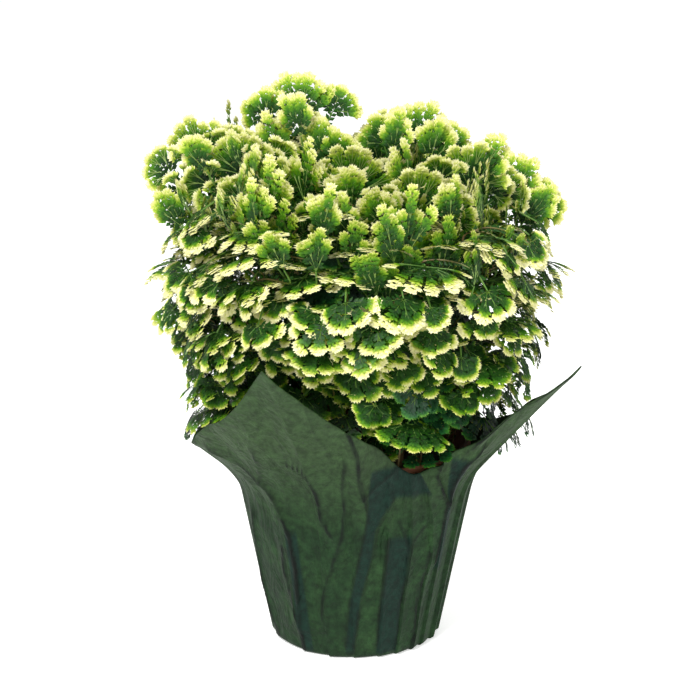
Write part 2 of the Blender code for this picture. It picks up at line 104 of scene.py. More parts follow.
def wallFaces(columns, rows):
    # two triangles for each cell of a grid of rings, whose columns close on themselves
    i, j = np.meshgrid(np.arange(rows - 1), np.arange(columns), indexing="ij")
    a = i * columns + j
    b = i * columns + (j + 1) % columns
    c, d = a + columns, b + columns
    return np.stack((np.stack((a, b, d), -1), np.stack((a, d, c), -1)), 2).reshape(-1, 3)


def tubeFaces(sides, steps):
    # triangles of a tube whose two ends are closed flat
    k = np.arange(1, sides - 1)
    zero = np.zeros_like(k)
    return np.concatenate((wallFaces(sides, steps), np.stack((zero, k + 1, k), -1),
                           np.stack((zero, k, k + 1), -1) + (steps - 1) * sides))


def makeMesh(name, points, faces, attributes=None, materialIndex=None, smooth=False):
    # one object at the origin from arrays of triangles (n x 3) or quads (n x 4)
    points, faces = np.asarray(points, np.float32), np.asarray(faces, np.int32)
    mesh = bpy.data.meshes.new(name)
    size = faces.shape[1]
    mesh.vertices.add(len(points))
    mesh.vertices.foreach_set("co", points.ravel())
    mesh.loops.add(faces.size)
    mesh.loops.foreach_set("vertex_index", faces.ravel())
    mesh.polygons.add(len(faces))
    mesh.polygons.foreach_set("loop_start", np.arange(0, faces.size, size, dtype=np.int32))
    if materialIndex is not None:
        mesh.polygons.foreach_set("material_index", np.asarray(materialIndex, np.int32))
    mesh.update(calc_edges=True)
    mesh.polygons.foreach_set("use_smooth", np.full(len(faces), smooth, bool))
    for key, values in (attributes or {}).items():
        mesh.attributes.new(key, "FLOAT", "POINT").data.foreach_set(
            "value", np.asarray(values, np.float32).ravel())
    mesh.validate()
    thing = bpy.data.objects.new(name, mesh)
    bpy.context.scene.collection.objects.link(thing)
    return thing


def place(thing, slotName, materials, *nodes):
    # gives a piece its materials and body, hides its replaced nodes, and returns its triangles
    for material in materials:
        thing.data.materials.append(material)
    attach(thing, "root")
    if nodes:
        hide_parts(*nodes)
    return len(thing.data.polygons)


class Heap:
    # collects points, triangles, attributes and material numbers of many small closed shapes
    def __init__(self):
        self.points, self.faces, self.tone, self.chance, self.stuff = [], [], [], [], []
        self.count = 0

    def add(self, points, faces, tone, chance, stuff):
        self.points.append(points)
        self.faces.append(faces + self.count)
        self.tone.append(tone)
        self.chance.append(chance)
        self.stuff.append(np.full(len(faces), stuff))
        self.count += len(points)

    def addLeaves(self, points, tones, rng, stuff):
        # closed kites of four triangles: base, left, tip and right
        count = len(points)
        kite = np.array(((0, 1, 2), (0, 2, 3), (0, 3, 1), (2, 1, 3)))
        faces = (4 * np.arange(count)[:, None, None] + kite).reshape(-1, 3)
        self.add(points.reshape(-1, 3), faces, np.clip(tones, 0, 1).ravel(),
                 np.repeat(rng.uniform(0, 1, count), 4), stuff)

    def build(self, name):
        marks = dict(tone=np.concatenate(self.tone), chance=np.concatenate(self.chance))
        return makeMesh(name, np.concatenate(self.points), np.concatenate(self.faces), marks,
                        np.concatenate(self.stuff))


# materials of the plant

def linear(hexColour):
    # sRGB hex to linear: c/12.92 below 0.04045, ((c+0.055)/1.055)^2.4 above
    parts = [int(hexColour[i:i + 2], 16) / 255 for i in (1, 3, 5)]
    return tuple(c / 12.92 if c <= 0.04045 else ((c + 0.055) / 1.055) ** 2.4 for c in parts) + (1.0,)


def setInputs(tree, made, inputs):
    # inputs by name or number: an output is linked, and a value or a hex colour is set
    for key, value in inputs.items():
        if isinstance(value, bpy.types.NodeSocket):
            tree.links.new(value, made.inputs[key])
        else:
            made.inputs[key].default_value = linear(value) if isinstance(value, str) else value


def node(tree, kind, inputs=None, stops=(), **settings):
    # adds a node with its settings, its inputs and the colours or greys of its ramp
    made = tree.nodes.new(kind)
    for key, value in settings.items():
        setattr(made, key, value)
    setInputs(tree, made, inputs or {})
    for _ in stops[2:]:
        made.color_ramp.elements.new(0.5)
    for index, (position, colour) in enumerate(stops):
        element = made.color_ramp.elements[index]
        element.position = position
        element.color = linear(colour) if isinstance(colour, str) else (colour,) * 3 + (1,)
    return made


def newMaterial(name):
    made = bpy.data.materials.new(name)
    made.use_nodes = True
    return made, made.node_tree, made.node_tree.nodes["Principled BSDF"]


leafLook = dict(
    colours=("#0C2C07", "#235309", "#4F820C", "#93B028", "#D4D772", "#F1EDBC"),
    roughness=0.50, ior=1.33)
oldLeafLook = dict(      # shaded older leaves: blue-green and shinier
    colours=("#0A2A15", "#12451F", "#2B6A26", "#5F9A30", "#A9C65A", "#DDE39A"),
    roughness=0.36, ior=1.42)
toneMarks = (0.0, 0.30, 0.55, 0.72, 0.86, 1.0)     # from the branch to the growing tip
leafVariety = 0.10


def leafMaterial(name, look):
    # Fresh spikemoss: small waxy scale leaves, deep green near the branch and bleached to cream
    # at the growing tips, so each fan is edged with a pale frill
    made, tree, shader = newMaterial(name)
    # the tone attribute holds the variegation and also painted shade, darker for lower fans and for the
    # cores in the middle
    tone = node(tree, "ShaderNodeAttribute", attribute_name="tone")
    chance = node(tree, "ShaderNodeAttribute", attribute_name="chance")
    shift = node(tree, "ShaderNodeMath", {0: chance.outputs["Fac"], 1: leafVariety, 2: -leafVariety / 2},
                 operation="MULTIPLY_ADD")
    total = node(tree, "ShaderNodeMath", {0: tone.outputs["Fac"], 1: shift.outputs[0]}, operation="ADD")
    colour = node(tree, "ShaderNodeValToRGB", {0: total.outputs[0]},
                  tuple(zip(toneMarks, look["colours"])))
    setInputs(tree, shader, {"Base Color": colour.outputs[0], "Roughness": look["roughness"],
                             "IOR": look["ior"]})
    return made


def stemMaterial():
    # Wiry spikemoss stem: straw brown and a little shiny, greener higher up, palest in the ribs
    made, tree, shader = newMaterial("wirySpikemossStem")
    tone = node(tree, "ShaderNodeAttribute", attribute_name="tone")
    colour = node(tree, "ShaderNodeValToRGB", {0: tone.outputs["Fac"]},
                  ((0.0, "#7A6240"), (0.35, "#6E6A30"), (0.6, "#4E7A22"), (1.0, "#B8C878")))
    setInputs(tree, shader, {"Base Color": colour.outputs[0], "Roughness": 0.55})
    return made


# the plant's layout, as the solids have it

plant = dict(
    seed=37,
    stemFoot=0.0635, stemClear=0.0835, stemRadius=0.0009, stalkRadius=0.0006,
    hub=0.006, spread=78, lobes=7, sideLobes=5, lobeLengths=(0.84, 1.06), sizes=(0.92, 1.10),
    plume=(0.88, 0.97, 1.05, 0.97, 0.88),       # the middle lobes of a plume are the longest
    tiers=((4, 20), (6, -10), (7, -48), (7, 14), (6, -36), (4, 53)),    # how many, first azimuth
    azimuthSway=(-2.5, 2.5), levelSway=(-0.005, 0.005), yaw=(-8, 8), roll=(-4, 4),
    centreHeight=0.110, topElevation=37, topRise=11, subtier=0.11, stagger=0.02,
    outerHole=0.038, innerHole=0.017, pull=0.42, fanArch=6.0,
    fanRadius=0.0182, sideRadius=0.0145, sideInset=0.013, sideYaw=10,
    sideSway=(-2, 2), insetSway=(-0.002, 0.002),
    nodeBack=0.020, lowestNode=0.25, sideDroop=60, frontDroop=82, frontReach=0.90,
    # elevation, how far the foliage reaches to the left and to the right
    reach=np.array(((-20, 0.070, 0.078), (12, 0.084, 0.086), (34, 0.110, 0.112), (55, 0.124, 0.116))),
)

uprights = dict(
    foot=(0.16, 0.34), lean=(0.62, 0.25, 1.0), pulls=(0.45, 0.35), seat=0.98, stretch=1.25,
    facing=(-14, 14), bend=6.0, arch=5.0, spread=66, sideBends=(3, 13), node=0.005, next=0.020,
    out=0.0105, on=0.006, shift=0.0030, yaw=(28, 36), sizes=(0.85, 1.0),
    tips=(      # tip x, y and z, size, pairs of side fans
        (-0.069, -0.001, 0.228, 0.80, 1), (-0.052, -0.005, 0.224, 0.85, 1),
        (-0.025, 0.001, 0.248, 0.85, 2), (-0.035, -0.021, 0.218, 0.90, 1),
        (-0.002, -0.008, 0.220, 1.05, 2), (-0.028, 0.027, 0.214, 0.95, 1),
        (0.012, 0.020, 0.224, 0.95, 2), (0.027, 0.005, 0.235, 0.90, 2),
        (0.027, -0.024, 0.212, 0.95, 1), (0.052, -0.009, 0.220, 0.90, 1),
        (0.071, 0.005, 0.212, 0.85, 1)),
)

lower = dict(            # small side fans further down the upright sprays
    count=5, gap=0.0085, above=0.002, lowest=0.3, out=0.0055, on=0.004, shift=0.002,
    yaw=(34, 48), roll=(-20, 20), sizes=(0.0085, 0.0120), bend=(4, 12), stretch=1.15, lobes=4,
)

# middles of the paper sheet's sides and its corners: azimuth, angle on the sheet, paper past
# the flare's start, lean of the collar from level, lowest elevation of the foliage
sheetKeys = np.array((
    (-82, 0, 0.0300, 42, -8), (-25, 45, 0.0330, 53, 17), (27, 0, 0.0225, 76, -2),
    (65, 45, 0.0330, 48, 10), (108, 0, 0.0280, 64, -10), (150, 45, 0.0330, 50, 13),
    (186, 0, 0.0300, 60, -8), (228, 45, 0.0080, 72, 9)))


def around(azimuth, column, eased=True, table=sheetKeys):
    # between the two keys beside it, p or p^2 (3 - 2p)
    keys, start = table[:, 0], table[0, 0]
    where = (np.asarray(azimuth, float) - start) % 360
    edges = np.append(keys - start, 360)
    values = np.append(table[:, column], table[0, column])
    left = np.clip(np.searchsorted(edges, where, side="right") - 1, 0, len(keys) - 1)
    part = (where - edges[left]) / (edges[left + 1] - edges[left])
    if eased:
        part = part * part * (3 - 2 * part)
    return values[left] + (values[left + 1] - values[left]) * part


def reachAt(elevation, azimuth):
    # between left and right by (1 + sin a) / 2, and shorter towards the front and back by cos^2 a
    rightness = (1 + np.sin(np.radians(azimuth))) / 2
    elevations, lefts, rights = plant["reach"].T
    left, right = np.interp(elevation, elevations, lefts), np.interp(elevation, elevations, rights)
    frontness = np.cos(np.radians(azimuth)) ** 2
    return (left + (right - left) * rightness) * (1 - (1 - plant["frontReach"]) * frontness)


def tierCurve(level, azimuth):
    # the arch of a stem: upright out of its hole, to a tip on the foliage's dome, where it droops
    low = float(around(azimuth, 4))
    frontness = math.cos(math.radians(azimuth)) ** 2
    elevation = low + (plant["topElevation"] + plant["topRise"] * frontness - low) * level
    reach = float(reachAt(elevation, azimuth))
    droop = plant["sideDroop"] + (plant["frontDroop"] - plant["sideDroop"]) * frontness
    slope, hang = math.radians(elevation), math.radians(elevation - droop)
    hole = plant["outerHole"] + (plant["innerHole"] - plant["outerHole"]) * level
    start = np.array((hole, plant["stemClear"]))
    tip = np.array((reach * math.cos(slope), plant["centreHeight"] + reach * math.sin(slope)))
    pull = plant["pull"] * np.linalg.norm(tip - start)
    flat = cubic(start, start + (0, pull), tip - pull * np.array((math.cos(hang), math.sin(hang))), tip)
    return polar(azimuth)[0] * flat[:, :1] + up * flat[:, 1:]


def newFan(origin, ahead, normal, radius, bend, lobes, arch=plant["fanArch"], stretch=1.0,
           spread=plant["spread"]):
    return dict(origin=origin, ahead=ahead, normal=normal, radius=radius, bend=bend, lobes=lobes,
                arch=arch, stretch=stretch, spread=spread)


def newSpray(curve, fans, joints=(), upright=False, rooted=False, leafy=0.45, end=None):
    # a stem with its fans: the first ends it, and the others branch off at the joints' lengths
    return dict(curve=curve, fans=fans, joints=list(joints), upright=upright, rooted=rooted,
                leafy=leafy, end=marksAlong(curve)[-1] if end is None else end)


def lobeLengths(rng, count):
    return rng.uniform(*plant["lobeLengths"], count)


def fanOnTier(level, azimuth, inset, radius, yaw, roll, lobes):
    # a fan laid on the arches of its tier: it bends as they do, and leans as those beside it
    length = plant["hub"] + radius
    curve = tierCurve(level, azimuth)
    origin, ahead = atLength(curve, -(inset + length))
    left, right = (atLength(tierCurve(level, azimuth + turn), -(inset + length / 2))[0]
                   for turn in (-5, 5))
    _, beyond = atLength(curve, -(inset + 0.001))
    bend = math.acos(float(np.clip(np.dot(ahead, beyond), -1, 1))) / length
    normal = unit(np.cross(left - right, ahead))
    ahead = turnedAbout(ahead, normal, yaw)
    return newFan(origin, ahead, turnedAbout(normal, ahead, roll), radius, bend, lobes)


def tierSpray(level, azimuth, turn, rng):
    # an arching spray: a fan at its end, and one to each side on the arches a little higher
    curve = tierCurve(level, azimuth)
    radius = plant["fanRadius"] * rng.uniform(*plant["sizes"])
    fans = [fanOnTier(level, azimuth, 0.0, radius, drawn(rng, plant["yaw"]),
                      drawn(rng, plant["roll"]), lobeLengths(rng, plant["lobes"]))]
    total = marksAlong(curve)[-1]
    end = total - plant["hub"] - radius
    joint = max(end - plant["nodeBack"], plant["lowestNode"] * total)
    for side in (-1, 1):
        near = azimuth + side * turn + drawn(rng, plant["sideSway"])
        size = plant["sideRadius"] * rng.uniform(*plant["sizes"])
        inset = plant["sideInset"] + drawn(rng, plant["insetSway"])
        fans.append(fanOnTier(level + plant["subtier"] + plant["stagger"] * side, near, inset,
                              size, side * plant["sideYaw"], drawn(rng, plant["roll"]),
                              lobeLengths(rng, plant["sideLobes"])))
    return newSpray(curve, fans, (joint, joint), rooted=True, end=end)


def uprightSpray(tip, size, pairs, rng):
    # a plume: a fan at its tip, and pairs of side fans set back and forth below it
    look = uprights
    tip = np.array(tip)
    foot = np.array((tip[0] * look["foot"][0], tip[1] * look["foot"][1], plant["stemClear"]))
    radius = plant["fanRadius"] * size
    lean = unit((tip - (0, 0, plant["stemClear"])) * look["lean"])
    facing = np.array((0, 1.0 if tip[1] < 0 else -1.0, 0.0))
    normal = squareTo(lean, turnedAbout(facing, up, drawn(rng, look["facing"])))
    end = tip - lean * (plant["hub"] + radius * look["stretch"]) * look["seat"]
    rise, lead = np.array(look["pulls"]) * np.linalg.norm(end - foot)
    curve = cubic(foot, foot + up * rise, end - lean * lead, end)
    total = marksAlong(curve)[-1]
    joints = [total - look["node"] - look["next"] * pair for pair in range(pairs)]
    shape = dict(arch=look["arch"], spread=look["spread"])
    fans = [newFan(end, lean, normal, radius, look["bend"], lobeLengths(rng, plant["lobes"]),
                   stretch=look["stretch"], **shape)]
    for pair, joint in enumerate(joints):
        point, ahead = atLength(curve, joint)
        here = squareTo(ahead, normal)
        right = np.cross(ahead, here)
        for side in (1, -1):
            way = turnedAbout(ahead, here, -side * rng.uniform(*look["yaw"]))
            back = side * (1 - 2 * pair)
            origin = (point + side * right * look["out"] + ahead * look["on"]
                      - here * look["shift"] * back)
            fans.append(newFan(origin, way, here,
                               plant["sideRadius"] * size * rng.uniform(*look["sizes"]),
                               look["sideBends"][back > 0], lobeLengths(rng, plant["sideLobes"]),
                               **shape))
    return newSpray(curve, fans, [j for j in joints for _ in (0, 1)], upright=True, rooted=True)


def lowerFans(spray, rng):
    # side fans down an upright spray, left and right in turn
    lowest = min(spray["joints"]) + lower["above"]
    for k in range(lower["count"]):
        mark = lowest - lower["gap"] * k
        if mark < lower["lowest"] * spray["end"]:
            break
        point, ahead = atLength(spray["curve"], mark)
        here = squareTo(ahead, spray["fans"][0]["normal"])
        side = 1 if k % 2 else -1
        way = turnedAbout(ahead, here, -side * rng.uniform(*lower["yaw"]))
        origin = (point + side * np.cross(ahead, here) * lower["out"] + ahead * lower["on"]
                  - here * lower["shift"] * side)
        spray["fans"].append(newFan(
            origin, way, turnedAbout(here, way, drawn(rng, lower["roll"])),
            drawn(rng, lower["sizes"]), drawn(rng, lower["bend"]),
            lobeLengths(rng, lower["lobes"]), stretch=lower["stretch"]))
        spray["joints"].append(mark)


def sprayLayout():
    rng = np.random.default_rng(plant["seed"])
    sprays = []
    for index, (count, first) in enumerate(plant["tiers"]):
        for k in range(count):
            azimuth = first + 360 * k / count + drawn(rng, plant["azimuthSway"])
            level = index / (len(plant["tiers"]) - 1) + drawn(rng, plant["levelSway"])
            sprays.append(tierSpray(level, azimuth, 90 / count, rng))
    for x, y, z, size, pairs in uprights["tips"]:
        sprays.append(uprightSpray((x, y, z), size, pairs, rng))
    return sprays


# leaves and stems as surfaces

leafShape = dict(
    spacing=0.00165,                # between leaf pairs along a branchlet
    lengths=(0.0030, 0.0025), widths=(0.0018, 0.0013),      # at a branchlet's start and end
    lengthSway=(0.82, 1.12), widthSway=(0.85, 1.15), spacingSway=(-0.2, 0.2),
    open=(55, 24), openSway=(-9, 9),        # degrees between leaf and branchlet
    keel=0.00020, rise=(-0.00006, 0.00020), roll=0.00016,
    lobeTilt=0.24, lobeNod=0.0026,          # each lobe's own slope, and how far its tip nods
    tuft=(-40, -13, 13, 40), tuftAt=0.99,   # leaves that close each branchlet
    ribRadius=0.00026, ribSink=0.4,
    paleing=2.6, standingPaleing=1.5, paleFrom=0.72,        # how fast a fan bleaches outwards
    tones=(-0.14, 0, 0.20, 0),
    paintedShadeTop=0.184, paintedShadeDepth=0.054, paintedShade=0.62,   # painted shade: fans below the top height are painted darker, fully so one depth lower
)

# branchlets of a lobe, its leader first: radius at start and end against the lobe's length,
# angle at start and end against the step between lobes
forks = ((0.04, 0.98, 0, 0), (0.34, 0.89, 0, -0.30), (0.34, 0.89, 0, 0.30),
         (0.60, 0.97, -0.02, -0.14), (0.60, 0.97, 0.02, 0.14))


def branchlets(fan, count):
    # lines from the hub in polar form: radius at start and end, angle at start and end
    spread = math.radians(fan["spread"])
    step = 2 * spread / (len(fan["lobes"]) - 1)
    angle = spread - step * np.arange(len(fan["lobes"]))
    full = fan["radius"] * fan["lobes"]
    lines = [np.stack((full * inner, full * outer, angle + step * near, angle + step * far), -1)
             for inner, outer, near, far in forks[:count]]
    return np.concatenate(lines), np.tile(full, count)


def fanPoints(fan, u, v, w):
    # bent along u, arched across v, w above the blade:
    # o + a sin(bu)/b - n (1-cos bu)/b + r v - h c v^2 + h w, with h = n cos bu + a sin bu
    ahead, normal = fan["ahead"], fan["normal"]
    turn = (fan["bend"] * u)[..., None]
    here = normal * np.cos(turn) + ahead * np.sin(turn)
    v, w = v[..., None], w[..., None]
    return (fan["origin"] + ahead * np.sin(turn) / fan["bend"]
            - normal * (1 - np.cos(turn)) / fan["bend"] + np.cross(ahead, normal) * v
            + here * (w - fan["arch"] * v * v))


def lobeHeights(fan, lobe, out):
    # every lobe slopes a little by itself, w = tilt r, and nods towards its tip, w = -nod out^3
    tilts = np.random.default_rng(int(fan["radius"] * 1e7)).uniform(-1, 1, len(fan["lobes"]))
    return (leafShape["lobeTilt"] * tilts[lobe] * (out - 0.25).clip(0) * fan["radius"]
            - leafShape["lobeNod"] * out ** 3)


def fanLeaves(fan, heap, rng, tint, coarse, stuff, paleing):
    # kites in pairs along each branchlet, opened to both sides, and a tuft of them at its end;
    # the line runs from radius r0 to r1 by s, with its angle eased by s^1.5
    shape = leafShape
    lines, full = branchlets(fan, 3 if coarse > 1 else 5)
    start, stop, first, last = lines.T
    number = np.maximum(((stop - start) / shape["spacing"] / coarse).astype(int), 2)
    line = np.repeat(np.arange(len(lines)), number)
    rank = np.concatenate([np.arange(n) for n in number])
    s = (rank + 0.5 + rng.uniform(*shape["spacingSway"], len(rank))) / number[line]
    tuft = np.array(shape["tuft"], float)
    line = np.concatenate((np.repeat(line, 2), np.repeat(np.arange(len(lines)), len(tuft))))
    opened = np.repeat(shape["open"][0] + (shape["open"][1] - shape["open"][0]) * s, 2)
    turn = np.concatenate((np.tile((1.0, -1.0), len(s)) * opened, np.tile(tuft, len(lines))))
    s = np.concatenate((np.repeat(s, 2), np.full(len(lines) * len(tuft), shape["tuftAt"])))
    count = len(s)
    turn = turn + rng.uniform(*shape["openSway"], count)
    radius = start[line] + (stop - start)[line] * s
    angle = first[line] + (last - first)[line] * s ** 1.5
    bearing = angle + 0.75 * (last - first)[line] * s ** 0.5 * radius / (stop - start)[line]
    u = plant["hub"] + radius * np.cos(angle) * fan["stretch"]
    v = radius * np.sin(angle)
    way = bearing + np.radians(turn)
    out = radius / full[line]
    long, longEnd = shape["lengths"]
    long = (long + (longEnd - long) * s) * rng.uniform(*shape["lengthSway"], count) * coarse ** 0.6
    wide, wideEnd = shape["widths"]
    wide = (wide + (wideEnd - wide) * s ** 2) * coarse ** 0.8 * rng.uniform(*shape["widthSway"], count)
    du, dv = np.cos(way), np.sin(way)
    roll = rng.uniform(-1, 1, count) * shape["roll"]
    lift = rng.uniform(*shape["rise"], count) + shape["ribRadius"] * shape["ribSink"]
    uu = np.stack((u, u + (du * long - dv * wide) / 2, u + du * long, u + (du * long + dv * wide) / 2), -1)
    vv = np.stack((v, v + (dv * long + du * wide) / 2, v + dv * long, v + (dv * long - du * wide) / 2), -1)
    ww = np.stack((np.full(count, shape["ribRadius"] * 0.3), lift - shape["keel"] + roll,
                   lift, lift - shape["keel"] - roll), -1)
    ww += lobeHeights(fan, line % len(fan["lobes"]), out)[:, None]
    # painted shade: the lower a fan sits, the darker its leaves' tones
    paintedShade = np.clip((shape["paintedShadeTop"] - fan["origin"][2]) / shape["paintedShadeDepth"], 0, 1)
    tone = np.clip(tint - shape["paintedShade"] * paintedShade + (out - shape["paleFrom"]) * paleing, 0.02, 1)
    heap.addLeaves(fanPoints(fan, uu, vv, ww), tone[:, None] + shape["tones"], rng, stuff)


def fanRibs(fan, heap, pale, sides=3, steps=3):
    # three-sided tapering ribs along the leaders and their first forks
    lines, full = branchlets(fan, 3)
    start, stop, first, last = (column[:, None] for column in lines.T)
    s = np.linspace(0, 1, steps)
    radius = start + (stop - start) * s
    angle = first + (last - first) * s ** 1.5
    thick = (leafShape["ribRadius"] * (1.1 - 0.75 * s) * np.where(s > 0, 1, 0.5))[:, None]
    theta = 2 * np.pi * np.arange(sides) / sides + np.pi / 2
    across = -thick * np.cos(theta)
    lobe = (np.arange(len(lines)) % len(fan["lobes"]))[:, None]
    bed = lobeHeights(fan, lobe, radius / full[:, None]) + leafShape["ribRadius"] * leafShape["ribSink"]
    u = plant["hub"] + radius * np.cos(angle) * fan["stretch"]
    points = fanPoints(fan, u[..., None] - np.sin(angle)[..., None] * across,
                       (radius * np.sin(angle))[..., None] + np.cos(angle)[..., None] * across,
                       thick * np.sin(theta) + bed[..., None])
    count = sides * steps
    faces = tubeFaces(sides, steps) + count * np.arange(len(lines))[:, None, None]
    tone = np.clip(pale + 0.15 * radius / full[:, None], 0, 1)
    heap.add(points.reshape(-1, 3), faces.reshape(-1, 3), np.repeat(tone.ravel(), sides),
             np.full(len(lines) * count, 0.5), 1)


def stemTube(curve, radii, heap, tones, sides):
    # circles carried along a path: p + r (a cos t + b sin t)
    ahead = unit(np.gradient(curve, axis=0))
    side = unit(np.cross(ahead, np.array((0.31, 0.87, 0.38))))
    other = np.cross(ahead, side)
    theta = 2 * np.pi * np.arange(sides)[:, None] / sides
    ring = side[:, None] * np.cos(theta) + other[:, None] * np.sin(theta)
    points = curve[:, None] + ring * np.asarray(radii)[:, None, None]
    heap.add(points.reshape(-1, 3), tubeFaces(sides, len(curve)), np.repeat(tones, sides),
             np.full(len(curve) * sides, 0.5), 1)


stemLeaf = dict(spacing=0.0017, spacingSway=(-0.0004, 0.0004), length=0.0031, lengthSway=(0.8, 1.15),
                width=0.0017, open=42, openSway=(-14, 14), swing=(-0.5, 0.5), keel=0.0003,
                tones=(-0.1, 0, 0.12, 0))


def stemLeaves(curve, start, stop, normal, heap, rng, tone, coarse):
    # scale leaves in pairs up a stem: each a kite from the stem's side, opened from its line
    look = stemLeaf
    count = int((stop - start) / look["spacing"] / coarse)
    if count < 2:
        return
    at = np.linspace(start, stop, count) + rng.uniform(*look["spacingSway"], count)
    point = pointsAt(curve, at)
    ahead = unit(pointsAt(curve, at + 0.001) - point + 1e-9)
    here = unit(normal - ahead * (ahead @ normal)[:, None])
    right = np.cross(ahead, here)
    point, ahead, here, right = (np.repeat(a, 2, 0) for a in (point, ahead, here, right))
    side = np.tile((1.0, -1.0), count)[:, None]
    turn = np.radians(look["open"] + rng.uniform(*look["openSway"], 2 * count))[:, None]
    swing = rng.uniform(*look["swing"], 2 * count)[:, None]
    way = ahead * np.cos(turn) + (right * side * np.cos(swing) + here * np.sin(swing)) * np.sin(turn)
    wide = np.cross(way, here) * look["width"] / 2 * coarse ** 0.5
    long = way * look["length"] * coarse ** 0.5 * rng.uniform(*look["lengthSway"], 2 * count)[:, None]
    middle = point + long / 2 - here * look["keel"]
    heap.addLeaves(np.stack((point, middle + wide, point + long, middle - wide), 1),
                   np.tile(np.array(look["tones"]) + tone, (2 * count, 1)), rng, 0)


def dressSpray(spray, heap, rng, tint, coarse=1.0, stuff=0):
    # a stem with its scale leaves, a stalk to each side fan, and every fan with leaves and ribs
    curve, end, first = spray["curve"], spray["end"], spray["fans"][0]
    stalk = plant["stalkRadius"]
    path = pointsAt(curve, np.linspace(0, end, 13).clip(1e-6))      # first ring 0.001 mm up the stem
    thick = stalk * 0.7
    if spray["rooted"]:
        path = np.concatenate(([curve[0] * (1, 1, 0) + up * plant["stemFoot"]], path))
        thick = plant["stemRadius"] * 0.62
    stemTube(path, np.linspace(thick, stalk * 0.6, len(path)), heap, np.linspace(0.0, 0.55, len(path)), 5)
    stemLeaves(curve, end * spray["leafy"], end, first["normal"], heap, rng, 0.16, coarse)
    for fan, joint in zip(spray["fans"][1:], spray["joints"]):
        point, ahead = atLength(curve, joint)
        gap = np.linalg.norm(fan["origin"] - point)
        course = cubic(point, point + ahead * gap * 0.35, fan["origin"] - fan["ahead"] * gap * 0.4,
                       fan["origin"], 6)
        course = np.concatenate((course, [fan["origin"] + fan["ahead"] * plant["hub"]]))
        stemTube(course, np.linspace(stalk * 0.8, stalk * 0.5, 7), heap, np.linspace(0.4, 0.6, 7), 4)
        stemLeaves(course, 0.001, marksAlong(course)[-1], fan["normal"], heap, rng, 0.22, coarse)
    stemTube(np.array([first["origin"], first["origin"] + first["ahead"] * plant["hub"]]),
             (stalk * 0.8, stalk * 0.5), heap, (0.55, 0.6), 5)
    for fan in spray["fans"]:
        fanLeaves(fan, heap, rng, tint, coarse, stuff,
                  leafShape["standingPaleing" if spray["upright"] else "paleing"])
        if coarse == 1:
            fanRibs(fan, heap, 0.66 if spray["upright"] else 0.56)


greens = [leafMaterial("youngSpikemossLeaf", leafLook), stemMaterial(),
          leafMaterial("matureSpikemossLeaf", oldLeafLook)]
tints = dict(arching=0.71, upright=0.54)
sprays = sprayLayout()
leafCount = 0
for number, spray in enumerate(sprays, 1):
    rng = np.random.default_rng(1000 + number)
    heap = Heap()
    if spray["upright"]:
        lowerFans(spray, rng)
    dressSpray(spray, heap, rng, tints["upright" if spray["upright"] else "arching"])
    leafCount += place(heap.build(f"leafy_spray_{number:02d}"), "variegated_leaf", greens,
                       f"spray_{number:02d}")
print("sprays:", len(sprays), "with", leafCount, "triangles")


# sprays between the tiers

between = dict(
    seed=5, count=266, candidates=7000, lowest=0, highest=74,
    flat=0.0134, stacked=0.0070,            # room kept beside a fan and above it
    reach=(0.84, 1.0), sizes=(0.56, 1.02), largeRadius=0.0150, largeLobes=6,
    standing=42, standingSway=(-3, 4), rise=(55, 82), tall=1.9, narrow=40,
    hang=((-20, 10, 22, 35, 48), (62, 55, 42, 30, 20)),   # degrees below level at an elevation
    hangSway=(-16, 16), roll=(-22, 22), yaw=(-25, 25), bend=(3, 14),
)
inside = dict(           # coarser ones that close the view into the middle, painted darker as shade
    between, seed=6, count=110, candidates=2500, lowest=-4, highest=70, flat=0.020, stacked=0.0110,
    reach=(0.42, 0.74), sizes=(0.95, 1.35), standing=60, tall=1.4, narrow=60,
    hang=((-20, 30, 60), (60, 45, 20)),
)
collar = dict(           # short sprays that hang over the pot's rim, inside the paper
    seed=8, count=34, tries=900, azimuth=(-180, 180), height=(0.096, 0.118), reach=(0.046, 0.060),
    hang=(15, 55), sizes=(0.011, 0.0155), apart=0.013, roll=(-20, 20), yaw=(-25, 25), bend=(10, 24),
    arch=8.0, foot=0.75, pull=0.006,
)
mature = dict(           # older sprays at the front right
    collar, seed=9, count=15, azimuth=(18, 84), height=(0.094, 0.136), reach=(0.050, 0.073),
    hang=(5, 60), sizes=(0.0125, 0.0175), apart=0.0115,
)
crown = dict(            # narrow plumes among the tallest: tip x, y, z and size
    seed=10, radius=0.0115, spread=44, stretch=1.8, lean=0.9, facing=(-0.3, 0.3), bend=(4, 10),
    tips=((-0.037, -0.006, 0.231, 1.0), (-0.016, -0.004, 0.229, 0.9), (-0.026, -0.008, 0.240, 0.9),
          (0.036, -0.010, 0.230, 1.0), (0.018, -0.012, 0.232, 0.9), (0.060, -0.014, 0.222, 1.0),
          (0.084, 0.0, 0.199, 0.9), (-0.083, -0.010, 0.196, 0.8), (-0.070, -0.012, 0.222, 0.8)),
)
overhang = dict(         # sprigs that hang out over the low sides of the paper: azimuth, reach, height
    seed=11, radius=0.0125, hang=58, hangSway=(-6, 6), start=(0.034, 0.112), pulls=(0.4, 0.35),
    roll=(-25, 25), yaw=0, bend=12.0, stretch=1.1,
    tips=((99, 0.0760, 0.083), (106, 0.0730, 0.079), (-99, 0.0770, 0.088), (92, 0.0800, 0.092)),
)
patch = dict(            # fans that close the thin place in the middle of the front
    overhang, seed=12, hang=40, start=(0.045, 0.140),
    tips=((-3, 0.086, 0.160), (6, 0.088, 0.152), (-10, 0.085, 0.151), (1, 0.084, 0.143),
          (14, 0.087, 0.161)),
)
stemPoints = np.concatenate([
    pointsAt(spray["curve"], np.linspace(0.35, 1, 16) * spray["end"]) for spray in sprays])


